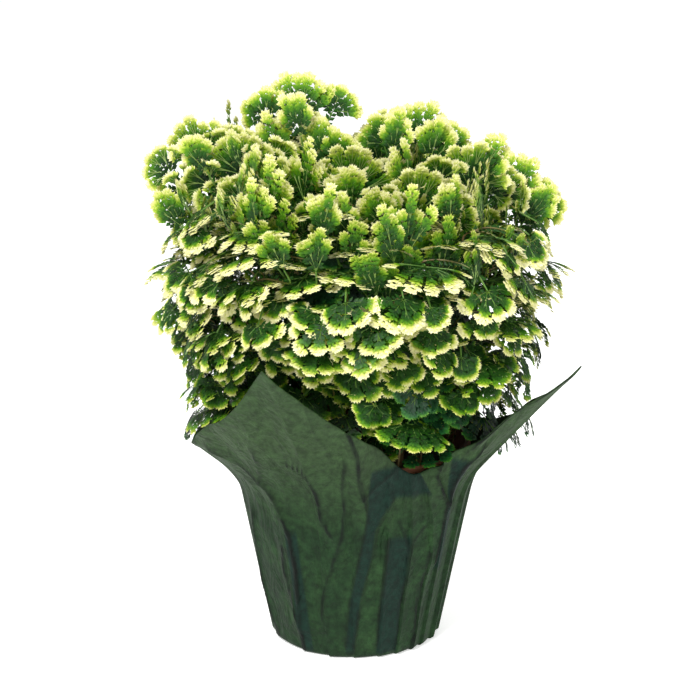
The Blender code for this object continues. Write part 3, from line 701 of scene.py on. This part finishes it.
def fanMiddle(fan):
    return fan["origin"] + fan["ahead"] * (plant["hub"] + fan["radius"] * 0.6)


def falling(azimuth, hang):
    # a direction that falls outward by hang degrees, and the level ones outward and across it
    outward, side = polar(azimuth)
    fall = math.radians(hang)
    return outward * math.cos(fall) - up * math.sin(fall), outward, side


def hungFan(look, rng, tip, ahead, across, radius, lobes, **shape):
    # a fan that ends at its tip, rolled about its line and then turned in its own face
    normal = turnedAbout(unit(np.cross(across, ahead)), ahead, drawn(rng, look["roll"]))
    return newFan(tip - ahead * (plant["hub"] + radius),
                  turnedAbout(ahead, normal, drawn(rng, look["yaw"])), normal, radius,
                  drawn(rng, look["bend"]), lobeLengths(rng, lobes), **shape)


def branchTo(origin, ahead):
    # a side branch from the nearest lower point of a main stem, seldom from one close by, above
    # the fan or further out than it
    gap = np.linalg.norm(stemPoints - origin, axis=1)
    rise = origin[2] - stemPoints[:, 2]
    inward = np.linalg.norm(origin[:2]) - np.linalg.norm(stemPoints[:, :2], axis=1)
    cost = gap + 0.05 * (gap < 0.012) + 0.03 * (rise < 0) + 0.03 * (inward < 0)
    start = stemPoints[np.argmin(cost)]
    pull = 0.35 * np.linalg.norm(origin - start)
    return cubic(start, start + up * pull, origin - ahead * pull, origin, 24)


def fillSprays(look, taken):
    # candidates spread over the foliage's dome, kept where no fan is near yet, nearness being
    # sqrt((beside / flat)^2 + (above / stacked)^2)
    rng = np.random.default_rng(look["seed"])
    found = []
    for _ in range(look["candidates"]):
        azimuth = rng.uniform(-180, 180)
        low = float(around(azimuth, 4)) + look["lowest"]
        elevation = low + (look["highest"] - low) * rng.uniform(0, 1)
        reach = float(reachAt(elevation, azimuth)) * rng.uniform(*look["reach"])
        radius = plant["sideRadius"] * rng.uniform(*look["sizes"])
        standing = elevation > look["standing"] + drawn(rng, look["standingSway"])
        if standing:                # upper sprays stand up with their faces outwards
            hang = -drawn(rng, look["rise"])
            rng.random()            # a draw without a use, which keeps the next ones as they are
            shape = dict(stretch=look["tall"], spread=look["narrow"])
        else:
            hang = np.interp(elevation, *look["hang"]) + drawn(rng, look["hangSway"])
            shape = {}
        ahead, outward, side = falling(azimuth, hang)
        slope = math.radians(elevation)
        tip = outward * reach * math.cos(slope) + up * (plant["centreHeight"] + reach * math.sin(slope))
        large = radius >= look["largeRadius"] and not standing
        fan = hungFan(look, rng, tip, ahead, side if standing else -side, radius,
                      look["largeLobes"] if large else plant["sideLobes"], **shape)
        fan["lobes"] = fan["lobes"] ** 2 * (plant["plume"] if standing else 1)
        middle = fanMiddle(fan)
        apart = np.array(taken) - middle
        above = apart @ fan["normal"]
        beside = np.sqrt(np.maximum((apart ** 2).sum(1) - above ** 2, 0))
        if np.min((beside / look["flat"]) ** 2 + (above / look["stacked"]) ** 2) < 1:
            continue
        taken.append(middle)
        found.append((azimuth, newSpray(branchTo(fan["origin"], fan["ahead"]), [fan],
                                        upright=standing, leafy=0.1)))
        if len(found) == look["count"]:
            break
    return found


def collarSprays(look):
    # random places in a ring, kept where no other spray of the ring is near yet
    rng = np.random.default_rng(look["seed"])
    found, middles = [], []
    for _ in range(look["tries"]):
        azimuth = drawn(rng, look["azimuth"])
        ahead, outward, side = falling(azimuth, drawn(rng, look["hang"]))
        tip = outward * drawn(rng, look["reach"]) + up * drawn(rng, look["height"])
        fan = hungFan(look, rng, tip, ahead, -side, drawn(rng, look["sizes"]), plant["sideLobes"],
                      arch=look["arch"])
        middle = fanMiddle(fan)
        if middles and np.min(np.linalg.norm(np.array(middles) - middle, axis=1)) < look["apart"]:
            continue
        middles.append(middle)
        origin = fan["origin"]
        foot = origin * (look["foot"], look["foot"], 0) + up * plant["stemClear"]
        curve = cubic(foot, foot + up * look["pull"], origin - ahead * look["pull"], origin, 16)
        found.append((azimuth, newSpray(curve, [fan], leafy=0.2)))
        if len(found) == look["count"]:
            break
    return found


def crownSprays(look):
    # plumes that stand at given tips and face the front
    rng = np.random.default_rng(look["seed"])
    found = []
    for x, y, z, size in look["tips"]:
        ahead = unit(np.array((x * look["lean"], y, z - plant["centreHeight"])))
        radius = look["radius"] * size
        origin = np.array((x, y, z)) - ahead * (plant["hub"] + radius * look["stretch"])
        normal = squareTo(ahead, np.array((drawn(rng, look["facing"]), -1.0, 0.1)))
        fan = newFan(origin, ahead, normal, radius, drawn(rng, look["bend"]),
                     lobeLengths(rng, plant["sideLobes"]) * plant["plume"],
                     stretch=look["stretch"], spread=look["spread"])
        found.append((math.degrees(math.atan2(x, -y)),
                      newSpray(branchTo(origin, ahead), [fan], upright=True, leafy=0.1)))
    return found


def overhangSprays(look):
    # sprigs that arch out from inside the foliage to given tips
    rng = np.random.default_rng(look["seed"])
    found = []
    for azimuth, reach, height in look["tips"]:
        ahead, outward, side = falling(azimuth, look["hang"] + drawn(rng, look["hangSway"]))
        fan = hungFan(look, rng, outward * reach + up * height, ahead, -side, look["radius"],
                      plant["sideLobes"], stretch=look["stretch"])
        start = outward * look["start"][0] + up * look["start"][1]
        rise, lead = np.array(look["pulls"]) * np.linalg.norm(fan["origin"] - start)
        curve = cubic(start, start + (outward + up * 0.5) * rise, fan["origin"] - ahead * lead,
                      fan["origin"], 20)
        found.append((azimuth, newSpray(curve, [fan], leafy=0.2)))
    return found


taken = [fanMiddle(fan) for spray in sprays for fan in spray["fans"]]
fills = fillSprays(between, taken) + collarSprays(collar) + crownSprays(crown) + overhangSprays(patch)
matures = collarSprays(mature) + overhangSprays(overhang)
paintedShadeCores = fillSprays(inside, taken)
# painted shade: the cores get a low tint and the older leaves' darker colours, standing in for the shade
# deep in the foliage
groups = ((fills, tints["arching"], 1.0, 0), (paintedShadeCores, 0.12, 2.1, 2), (matures, 0.50, 1.0, 2))
sectors, uprightDarker = 8, 0.16
for sector in range(sectors):
    rng = np.random.default_rng(2000 + sector)
    heap = Heap()
    for group, tint, coarse, stuff in groups:
        for azimuth, spray in group:
            if int((azimuth + 180) // (360 / sectors)) % sectors == sector:
                dressSpray(spray, heap, rng, tint - uprightDarker * spray["upright"], coarse, stuff)
    leafCount += place(heap.build(f"inner_sprays_{sector + 1}"), "variegated_leaf", greens)
print("sprays between the tiers:", len(fills), "and inside:", len(paintedShadeCores), "now", leafCount, "triangles")


# paper cover

cover = dict(
    paper=0.0007, floor=0.0010, baseRadius=0.0357, baseRound=0.0015, wallSlope=0.2,
    flareHeight=0.066, flareRun=0.020, halfSide=0.137, sweepStart=0.048, firstRow=0.0015,
    frontPleats=((-71, -87), (-38, -80), (-18, -22), (-1, -4), (16, 14), (29, 24), (42, 29),
                 (52, 36), (66, 64)),           # azimuth at the foot and at the edge
    backPleats=15, backPull=0.25, backSway=(-0.2, 0.2),
    pleatLift=0.0014, pleatDepths=(0.65, 1.2), pleatFade=0.7,
    pleatShape=((0, 0.5, 0.92, 1), (1, 0.4, 0, 0)),     # height from one fold to the next
    frontParts=26, backParts=10, closer=1.25, rows=64,
    bumps=((0.006, 7, 11), (0.006, -54, 15)),   # extra paper at the edge: height, azimuth, spread
    flutter=0.0007, waves=((1, 9, 1), (1, 17, 0), (0.6, 31, 0)),    # height, number, phase
    press=1.4, pressFrom=(0.012, 0.15),     # run where a crease is full, and its share at the foot
)

paperKeys = sheetKeys.copy()
paperKeys[0, 2:4] = 0.0345, 39       # the left side's edge, a little longer and flatter
paperKeys[1, 0] = -21.6              # the tall front corner
paperKeys[1, 2:4] = 0.0360, 55
paperKeys[3, 2] = 0.0300             # the long right corner

wallLength = cover["flareHeight"] * math.hypot(1, cover["wallSlope"])


def sheetLength(azimuth):
    # half side / cos(angle on the sheet), less the half side, past the flare, and the bumps
    corner = np.radians(around(azimuth, 1, False, paperKeys))
    length = wallLength + around(azimuth, 2, True, paperKeys) + cover["halfSide"] * (1 / np.cos(corner) - 1)
    for height, middle, spread in cover["bumps"]:
        turn = (azimuth - middle + 180) % 360 - 180
        length = length + height * np.exp(-(turn / spread) ** 2)
    return length


def coverPoint(foot, edge, run, lift):
    # cone, then an arc of flareRun to the collar's lean, then straight; the fold line's azimuth
    # sweeps from foot to edge as the square of the run past sweepStart
    length = sheetLength(edge)
    sweep = np.clip((run - cover["sweepStart"]) / (length - cover["sweepStart"]), 0, 1) ** 2
    azimuth = foot + (edge - foot) * sweep
    steep = math.atan(1 / cover["wallSlope"])
    lean = np.radians(around(azimuth, 3, True, paperKeys))
    past = np.maximum(run - wallLength, 0)
    rate = (lean - steep) / cover["flareRun"]
    rate = np.where(np.abs(rate) < 1e-6, 1e-6, rate)
    angle = steep + rate * np.minimum(past, cover["flareRun"])
    straight = np.maximum(past - cover["flareRun"], 0)
    onWall = np.minimum(run, wallLength)
    radius = (cover["baseRadius"] + onWall * math.cos(steep)
              + (np.sin(angle) - math.sin(steep)) / rate + straight * np.cos(angle))
    height = (onWall * math.sin(steep)
              + (math.cos(steep) - np.cos(angle)) / rate + straight * np.sin(angle))
    outward, _ = polar(azimuth)
    out = outward * np.sin(angle)[..., None] - up * np.cos(angle)[..., None]
    return outward * radius[..., None] + up * height[..., None] + out * lift[..., None], out, azimuth, radius


# creases pressed into the sheet: height, width to the left and to the right in mm, then points
# down the crease as azimuth and mm along the sheet from the foot
creases = (
    (1.4, 6.0, 1.0, (-77, 119), (-52, 102), (-43, 87), (-38, 71), (-34, 59), (-33, 43), (-36, 2)),
    (1.0, 1.5, 2.5, (-41, 53), (-43, 41), (-40, 27), (-36, 14)),
    (1.1, 2.5, 1.2, (-64, 62), (-68, 46), (-71, 28), (-68, 15), (-65, 2)),
    (1.1, 1.2, 5.0, (-27, 101), (-19, 96), (-17, 85), (-16.5, 70), (-12.5, 62)),
    (0.8, 1.5, 1.5, (-36, 113), (-38, 98), (-43, 87)),
    (1.3, 7.0, 1.1, (-3, 122), (0.8, 106), (1.7, 92), (3.8, 82)),
    (0.7, 1.0, 3.0, (15, 92), (7, 86), (3.8, 82), (5.5, 72), (4.4, 65), (1.7, 51), (-3.4, 30), (-6.8, 6)),
    (0.8, 1.0, 4.0, (-4, 104), (-5.7, 87), (-5.3, 75), (-7, 61), (-14, 43.5), (-19.4, 30), (-21, 20)),
    (0.6, 3.0, 1.0, (18, 79), (11, 65), (8.2, 50), (3.1, 31), (-0.8, 5)),
    (0.7, 1.0, 4.0, (16, 60), (15.5, 42), (13.6, 17), (13.6, 4)),
    (0.7, 4.0, 0.9, (36, 63), (29, 56), (29, 41), (27, 27), (27.5, 3)),
    (0.6, 1.0, 3.0, (21, 68), (26, 58), (28, 52)),
    (1.2, 3.5, 1.0, (41, 50), (40, 35), (39, 24), (42, 2)),
    (2.0, 5.0, 0.8, (38, 100), (37.5, 88), (47, 73), (47, 62), (46, 45)),
    (1.4, 0.8, 4.0, (53, 104), (48, 96), (47, 84), (48, 72)),
    (1.1, 2.0, 6.0, (63.5, 149), (60, 137), (53, 119), (46, 103)),
    (-0.5, 1.2, 1.2, (58, 128), (52, 108), (55, 90), (57, 70)),
    (0.4, 1.0, 1.0, (-14, 140), (-12, 118), (-8, 108)),
    (0.4, 1.5, 1.0, (-30, 136), (-24, 122), (-25, 110)),
    (0.35, 1.2, 1.2, (-21, 29), (-16, 22), (-19, 12), (-12, 4)),
)
creaseShadowWidths = (0.0011, 0.0006)        # widths of a crease's painted shadow line, on its steep side and on the other
# where the sheet lies double: left edge, then right edge, as azimuth and mm along the sheet
doubles = (
    (((5.5, 80), (4.4, 65), (1.7, 51), (-3.4, 30), (-7, 4)),
     ((18, 79), (10, 65), (8.2, 50), (3.1, 31), (-0.8, 4))),
    (((16.5, 59), (15.5, 42), (13.6, 17), (13.5, 3)), ((28.8, 57), (29, 41), (27.2, 23), (29, 3))),
    (((-37, 60), (-37, 30), (-37.5, 2)), ((-30.5, 60), (-30, 30), (-29.4, 2))),
    (((6, 94), (5, 80)), ((27, 94), (37, 79))),
    (((42, 96), (47, 70), (47, 40)), ((53, 98), (56, 72), (56, 40))),
)
doubleEdges = (0.0006, 0.002)        # how soon a band fades at its sides and at its ends


def creaseField(azimuth, run, radius):
    # each crease adds h e^(-d/w), d being the distance to its line and w its width on that side;
    # its painted shadow line is e^(-(d/w)^2), w being the shadow line's width for the steep side and for the
    # other, and fainter for a low crease
    total, creaseShadowMask = np.zeros_like(run), np.zeros_like(run)
    for height, left, right, *line in creases:
        nearest, side = np.full_like(run, 1.0), np.zeros_like(run)
        for (a0, r0), (a1, r1) in zip(line[:-1], line[1:]):
            px, py = np.radians(azimuth - a0) * radius, run - r0 / 1000
            dx, dy = math.radians(a1 - a0) * radius, (r1 - r0) / 1000
            t = np.clip((px * dx + py * dy) / (dx * dx + dy * dy), 0, 1)
            gap = np.hypot(px - t * dx, py - t * dy)
            closer = gap < nearest
            nearest = np.where(closer, gap, nearest)
            side = np.where(closer, px * dy - py * dx, side)
        total += cover["press"] * height / 1000 * np.exp(-nearest / np.where(side > 0, left, right) * 1000)
        steep = np.where(side > 0, left > right, left <= right)
        depth = np.clip(1.25 * (abs(height) - 0.25), 0.25, 1)
        creaseShadowMask = np.maximum(creaseShadowMask, depth * np.exp(-(nearest / np.where(steep, *creaseShadowWidths)) ** 2))
    return total, creaseShadowMask


def doubleField(azimuth, run, radius):
    # 1 inside the bands, falling to 0 over doubleEdges within their sides and beyond their ends
    total = np.zeros_like(run)
    for left, right in doubles:
        bounds = []
        for edge in (left, right):
            where, marks = np.array(edge, float)[::-1].T
            bounds.append(np.interp(run * 1000, marks, where))
        within = np.radians(np.minimum(azimuth - bounds[0], bounds[1] - azimuth)) * radius
        low, high = left[-1][1] / 1000, left[0][1] / 1000
        ends = np.minimum(run - low, high - run) / doubleEdges[1] + 1
        total = np.maximum(total, np.clip(np.minimum(within / doubleEdges[0], ends), 0, 1))
    return total


def pleatLines(rng):
    # azimuths of the folds at foot and edge: the front ones as given, those at the back evenly
    # spaced, with their edges drawn towards the nearest notch of the sheet
    lines = list(cover["frontPleats"])
    first, last = np.array(lines[-1]), np.array(lines[0]) + 360
    notches = sheetKeys[sheetKeys[:, 1] == 0][:, 0]
    notches = np.append(notches, notches[0] + 360)
    for k in range(1, cover["backPleats"] + 1):
        share = (k + drawn(rng, cover["backSway"])) / (cover["backPleats"] + 1)
        foot, edge = first + (last - first) * share
        notch = notches[np.argmin(np.abs(notches - edge))]
        lines.append((foot, edge + cover["backPull"] * (notch - edge)))
    lines.append(tuple(last))
    return np.array(lines, float)


def coverColumns(rng):
    # azimuth at foot and edge and height of each column, with closer columns at a pleat's fold
    lines = pleatLines(rng)
    depth = rng.uniform(*cover["pleatDepths"], len(lines))
    front = len(cover["frontPleats"]) - 1
    columns = []
    for k, (fold, beyond) in enumerate(zip(lines[:-1], lines[1:])):
        parts = cover["frontParts"] if k < front else cover["backParts"]
        part = np.linspace(0, 1, parts, endpoint=False) ** cover["closer"]
        foot, edge = fold[:, None] + (beyond - fold)[:, None] * part
        columns.append((foot, edge, cover["pleatLift"] * depth[k] * np.interp(part, *cover["pleatShape"])))
    return np.concatenate(columns, axis=1)


def coverPiece():
    # outer and inner skin of the sheet, a ring under its rounded foot, and a pole for each floor
    feet, edges, lifts = coverColumns(np.random.default_rng(plant["seed"]))
    reach = sheetLength(edges)
    share = np.linspace(0, 1, cover["rows"])[:, None]
    runs = cover["firstRow"] + (reach - cover["firstRow"]) * share
    lift = lifts * (1 - cover["pleatFade"] * np.clip((runs - wallLength) / (reach - wallLength), 0, 1))
    _, _, azimuth, radius = coverPoint(feet, edges, runs, lift)
    turn = (azimuth + 180) % 360 - 180
    raised, creaseShadowMask = creaseField(turn, runs, radius)
    full, least = cover["pressFrom"]
    lift = lift + raised * np.clip(runs / full, least, 1)
    wave = np.radians(azimuth)
    ripple = sum(height * np.sin(number * wave + phase) for height, number, phase in cover["waves"])
    outer, out, _, _ = coverPoint(feet, edges, runs, lift + cover["flutter"] * share ** 2 * ripple)
    inner = outer - out * cover["paper"]
    foot = outer[:1] * (1, 1, 0) * (1 - cover["baseRound"] / cover["baseRadius"])
    inner[0] = inner[0] * (1, 1, 0) + up * cover["floor"]
    rings = np.concatenate((foot, outer, inner[::-1]))
    rows, columns = rings.shape[:2]
    j = np.arange(columns)
    k = (j + 1) % columns
    pole, last = rows * columns, (rows - 1) * columns
    faces = np.concatenate((wallFaces(columns, rows), np.stack((np.full(columns, pole), k, j), -1),
                            np.stack((last + j, last + k, np.full(columns, pole + 1)), -1)))
    points = np.concatenate((rings.reshape(-1, 3), [(0, 0, 0), (0, 0, cover["floor"])]))
    marks = dict(double=doubleField(turn, runs, radius), creaseShadow=creaseShadowMask)      # on the outer skin alone
    marks = {key: np.pad(values.ravel(), (columns, values.size + 2)) for key, values in marks.items()}
    return makeMesh("paper_cover", points, faces, marks, smooth=True)


paperLook = dict(
    cloud=13.333, crumple=7.6923, crumpleTall=0.35, grain=3.0303, fibre=1.1111,    # sizes in mm
    dye=((0.32, "#132A15"), (0.5, "#1C361C"), (0.7, "#284524")),
    # painted highlight: a paler colour mixed in between two heights, so the sheet is lighter towards its top
    # painted shadow: the darkest colour, laid along the creases
    paintedHighlight="#3F5533", paintedHighlightFrom=0.060, paintedHighlightTo=0.105, doubled="#0F2A20", paintedCreaseShadow="#06100A",
    roughness=0.66, ior=1.24, fibreDepth=0.0003, crumpleDepth=0.0022,
)


def paperMaterial(look):
    # Dyed florist's paper, machine glazed and hand folded: matt dark green with cloudy dye, painted
    # shadow lines along the folds, a painted highlight that makes it paler towards the top, bluish
    # bands where it lies double, fibres and small crumples. Real fibres are much finer: they are
    # drawn about 1 mm apart so that they show.
    made, tree, shader = newMaterial("dyedFloristPaper")
    where = node(tree, "ShaderNodeTexCoord").outputs["Object"]
    tall = node(tree, "ShaderNodeMapping", {"Vector": where, "Scale": (1, 1, look["crumpleTall"])})
    noises = {}
    for key, vector, detail, rough, twist in (("cloud", where, 5, 0.65, 0), ("fibre", where, 3, 0.65, 0),
                                              ("crumple", tall.outputs[0], 4, 0.55, 1.2),
                                              ("grain", where, 4, 0.7, 0)):
        noises[key] = node(tree, "ShaderNodeTexNoise", {
            "Vector": vector, "Scale": 1000 / look[key], "Detail": detail, "Roughness": rough,
            "Distortion": twist}).outputs["Fac"]
    colour = node(tree, "ShaderNodeValToRGB", {0: noises["cloud"]}, look["dye"])
    height = node(tree, "ShaderNodeSeparateXYZ", {0: where})
    # painted highlight: paler towards the top of the sheet
    paintedHighlight = node(tree, "ShaderNodeMapRange", {"Value": height.outputs[2], "From Min": look["paintedHighlightFrom"],
                                              "From Max": look["paintedHighlightTo"], "To Max": 0.6})
    double = node(tree, "ShaderNodeAttribute", attribute_name="double")
    # painted shadow: dark lines along the creases, strongest on a crease's steep side and broken up by the
    # crumple noise
    creaseShadow = node(tree, "ShaderNodeAttribute", attribute_name="creaseShadow")
    creaseShadowRamp = node(tree, "ShaderNodeValToRGB", {0: creaseShadow.outputs["Fac"]}, ((0.05, 0.0), (0.7, 0.95)))
    uneven = node(tree, "ShaderNodeValToRGB", {0: noises["crumple"]}, ((0.38, 0.45), (0.55, 1.0)))
    paintedCreaseShadow = node(tree, "ShaderNodeMix", {0: 1.0, 6: creaseShadowRamp.outputs[0], 7: uneven.outputs[0]},
                   data_type="RGBA", blend_type="MULTIPLY")
    fleck = node(tree, "ShaderNodeValToRGB", {0: noises["grain"]}, ((0.35, 0.50), (0.65, 1.08)))
    colour = colour.outputs[0]
    for factor, layer, blend in ((paintedHighlight.outputs[0], look["paintedHighlight"], "MIX"),
                                 (double.outputs["Fac"], look["doubled"], "MIX"),
                                 (paintedCreaseShadow.outputs[2], look["paintedCreaseShadow"], "MIX"),
                                 (1.0, fleck.outputs[0], "MULTIPLY")):
        colour = node(tree, "ShaderNodeMix", {0: factor, 6: colour, 7: layer},
                      data_type="RGBA", blend_type=blend).outputs[2]
    rough = node(tree, "ShaderNodeBump", {"Height": noises["fibre"], "Strength": 0.5,
                                          "Distance": look["fibreDepth"]})
    bump = node(tree, "ShaderNodeBump", {"Height": noises["crumple"], "Normal": rough.outputs[0],
                                         "Strength": 1.0, "Distance": look["crumpleDepth"]})
    setInputs(tree, shader, {"Base Color": colour, "Roughness": look["roughness"], "IOR": look["ior"],
                             "Normal": bump.outputs[0]})
    return made


paperCount = place(coverPiece(), "dark_green_paper", [paperMaterial(paperLook)], "pot_cover")
print("paper cover:", paperCount, "triangles")


# pot and soil keep their solids

potLook = dict(cloud=16.667, colours=((0.3, "#7A4A34"), (0.7, "#8A573E")), roughness=0.5)
soilLook = dict(crumb=2.0, colours=((0.35, "#1B130D"), (0.6, "#33261B"), (0.75, "#5A4632")),
                roughness=0.95, depth=0.001)            # cloud and crumb are sizes in mm


def plasticMaterial(look):
    # Injection-moulded polypropylene, terracotta coloured: soft gloss with faint flow marks
    made, tree, shader = newMaterial("mouldedTerracottaPlastic")
    where = node(tree, "ShaderNodeTexCoord").outputs["Object"]
    cloud = node(tree, "ShaderNodeTexNoise", {"Vector": where, "Scale": 1000 / look["cloud"], "Detail": 3})
    colour = node(tree, "ShaderNodeValToRGB", {0: cloud.outputs["Fac"]}, look["colours"])
    setInputs(tree, shader, {"Base Color": colour.outputs[0], "Roughness": look["roughness"]})
    return made


def peatMaterial(look):
    # Moist peat compost: near black crumbs with lighter fibres
    made, tree, shader = newMaterial("moistPeatCompost")
    where = node(tree, "ShaderNodeTexCoord").outputs["Object"]
    crumb = node(tree, "ShaderNodeTexNoise", {"Vector": where, "Scale": 1000 / look["crumb"],
                                              "Detail": 5, "Roughness": 0.7})
    colour = node(tree, "ShaderNodeValToRGB", {0: crumb.outputs["Fac"]}, look["colours"])
    bump = node(tree, "ShaderNodeBump", {"Height": crumb.outputs["Fac"], "Strength": 0.9,
                                         "Distance": look["depth"]})
    setInputs(tree, shader, {"Base Color": colour.outputs[0], "Roughness": look["roughness"],
                             "Normal": bump.outputs[0]})
    return made


for nodeName, made in (("grower_pot", plasticMaterial(potLook)), ("soil", peatMaterial(soilLook))):
    thing = bpy.data.objects[nodeName]
    thing.data.materials.clear()
    thing.data.materials.append(made)
print("pot and soil finished")


# studio

studio = dict(
    lens=100, sensor=36, distance=0.84, elevation=15, target=0.128, shiftX=-0.008,
    floorSize=9.0, floorDrop=0.0002, floorGlow=0.50, ambient=0.55, lampTarget=(0, 0, 0.13),
    lamps=(("key", (-0.35, -0.80, 1.20), 0.40, 20), ("fill", (0.9, -0.8, 0.6), 0.9, 4),
           ("back", (0.2, 0.9, 1.0), 0.8, 4)),          # place, size, watts
)


def studioSet(look):
    corners = np.array(((-1, -1, 0), (1, -1, 0), (1, 1, 0), (-1, 1, 0)))
    floor = makeMesh("studio_floor", corners * look["floorSize"] - up * look["floorDrop"], [(0, 1, 2, 3)])
    made, tree, shader = newMaterial("palePaperFloor")
    setInputs(tree, shader, {"Base Color": "#F4F4F2", "Roughness": 0.9, "Emission Color": (1, 1, 1, 1),
                             "Emission Strength": look["floorGlow"]})
    floor.data.materials.append(made)
    scene = bpy.context.scene
    scene.view_settings.view_transform = "Standard"
    world = scene.world or bpy.data.worlds.new("studioWorld")
    scene.world = world
    world.use_nodes = True
    tree = world.node_tree
    seen = node(tree, "ShaderNodeLightPath").outputs["Is Camera Ray"]
    power = node(tree, "ShaderNodeMapRange", {"Value": seen, "To Min": look["ambient"], "To Max": 1.0})
    setInputs(tree, tree.nodes["Background"], {0: (1, 1, 1, 1), 1: power.outputs[0]})
    for name, spot, size, watts in look["lamps"]:
        lamp = bpy.data.lights.new(name, "AREA")
        lamp.size, lamp.energy = size, watts
        thing = bpy.data.objects.new(name, lamp)
        thing.location = spot
        aim = Vector(look["lampTarget"]) - Vector(spot)
        thing.rotation_euler = aim.to_track_quat("-Z", "Y").to_euler()
        scene.collection.objects.link(thing)


def camera(look):
    made = bpy.data.cameras.new("camera")
    made.lens, made.sensor_width, made.shift_x = look["lens"], look["sensor"], look["shiftX"]
    thing = bpy.data.objects.new("camera", made)
    slope = math.radians(look["elevation"])
    thing.location = (0, -look["distance"] * math.cos(slope),
                      look["target"] + look["distance"] * math.sin(slope))
    thing.rotation_euler = (math.radians(90) - slope, 0, 0)
    bpy.context.scene.collection.objects.link(thing)
    bpy.context.scene.camera = thing


studioSet(studio)
camera(studio)
print("studio and camera set")
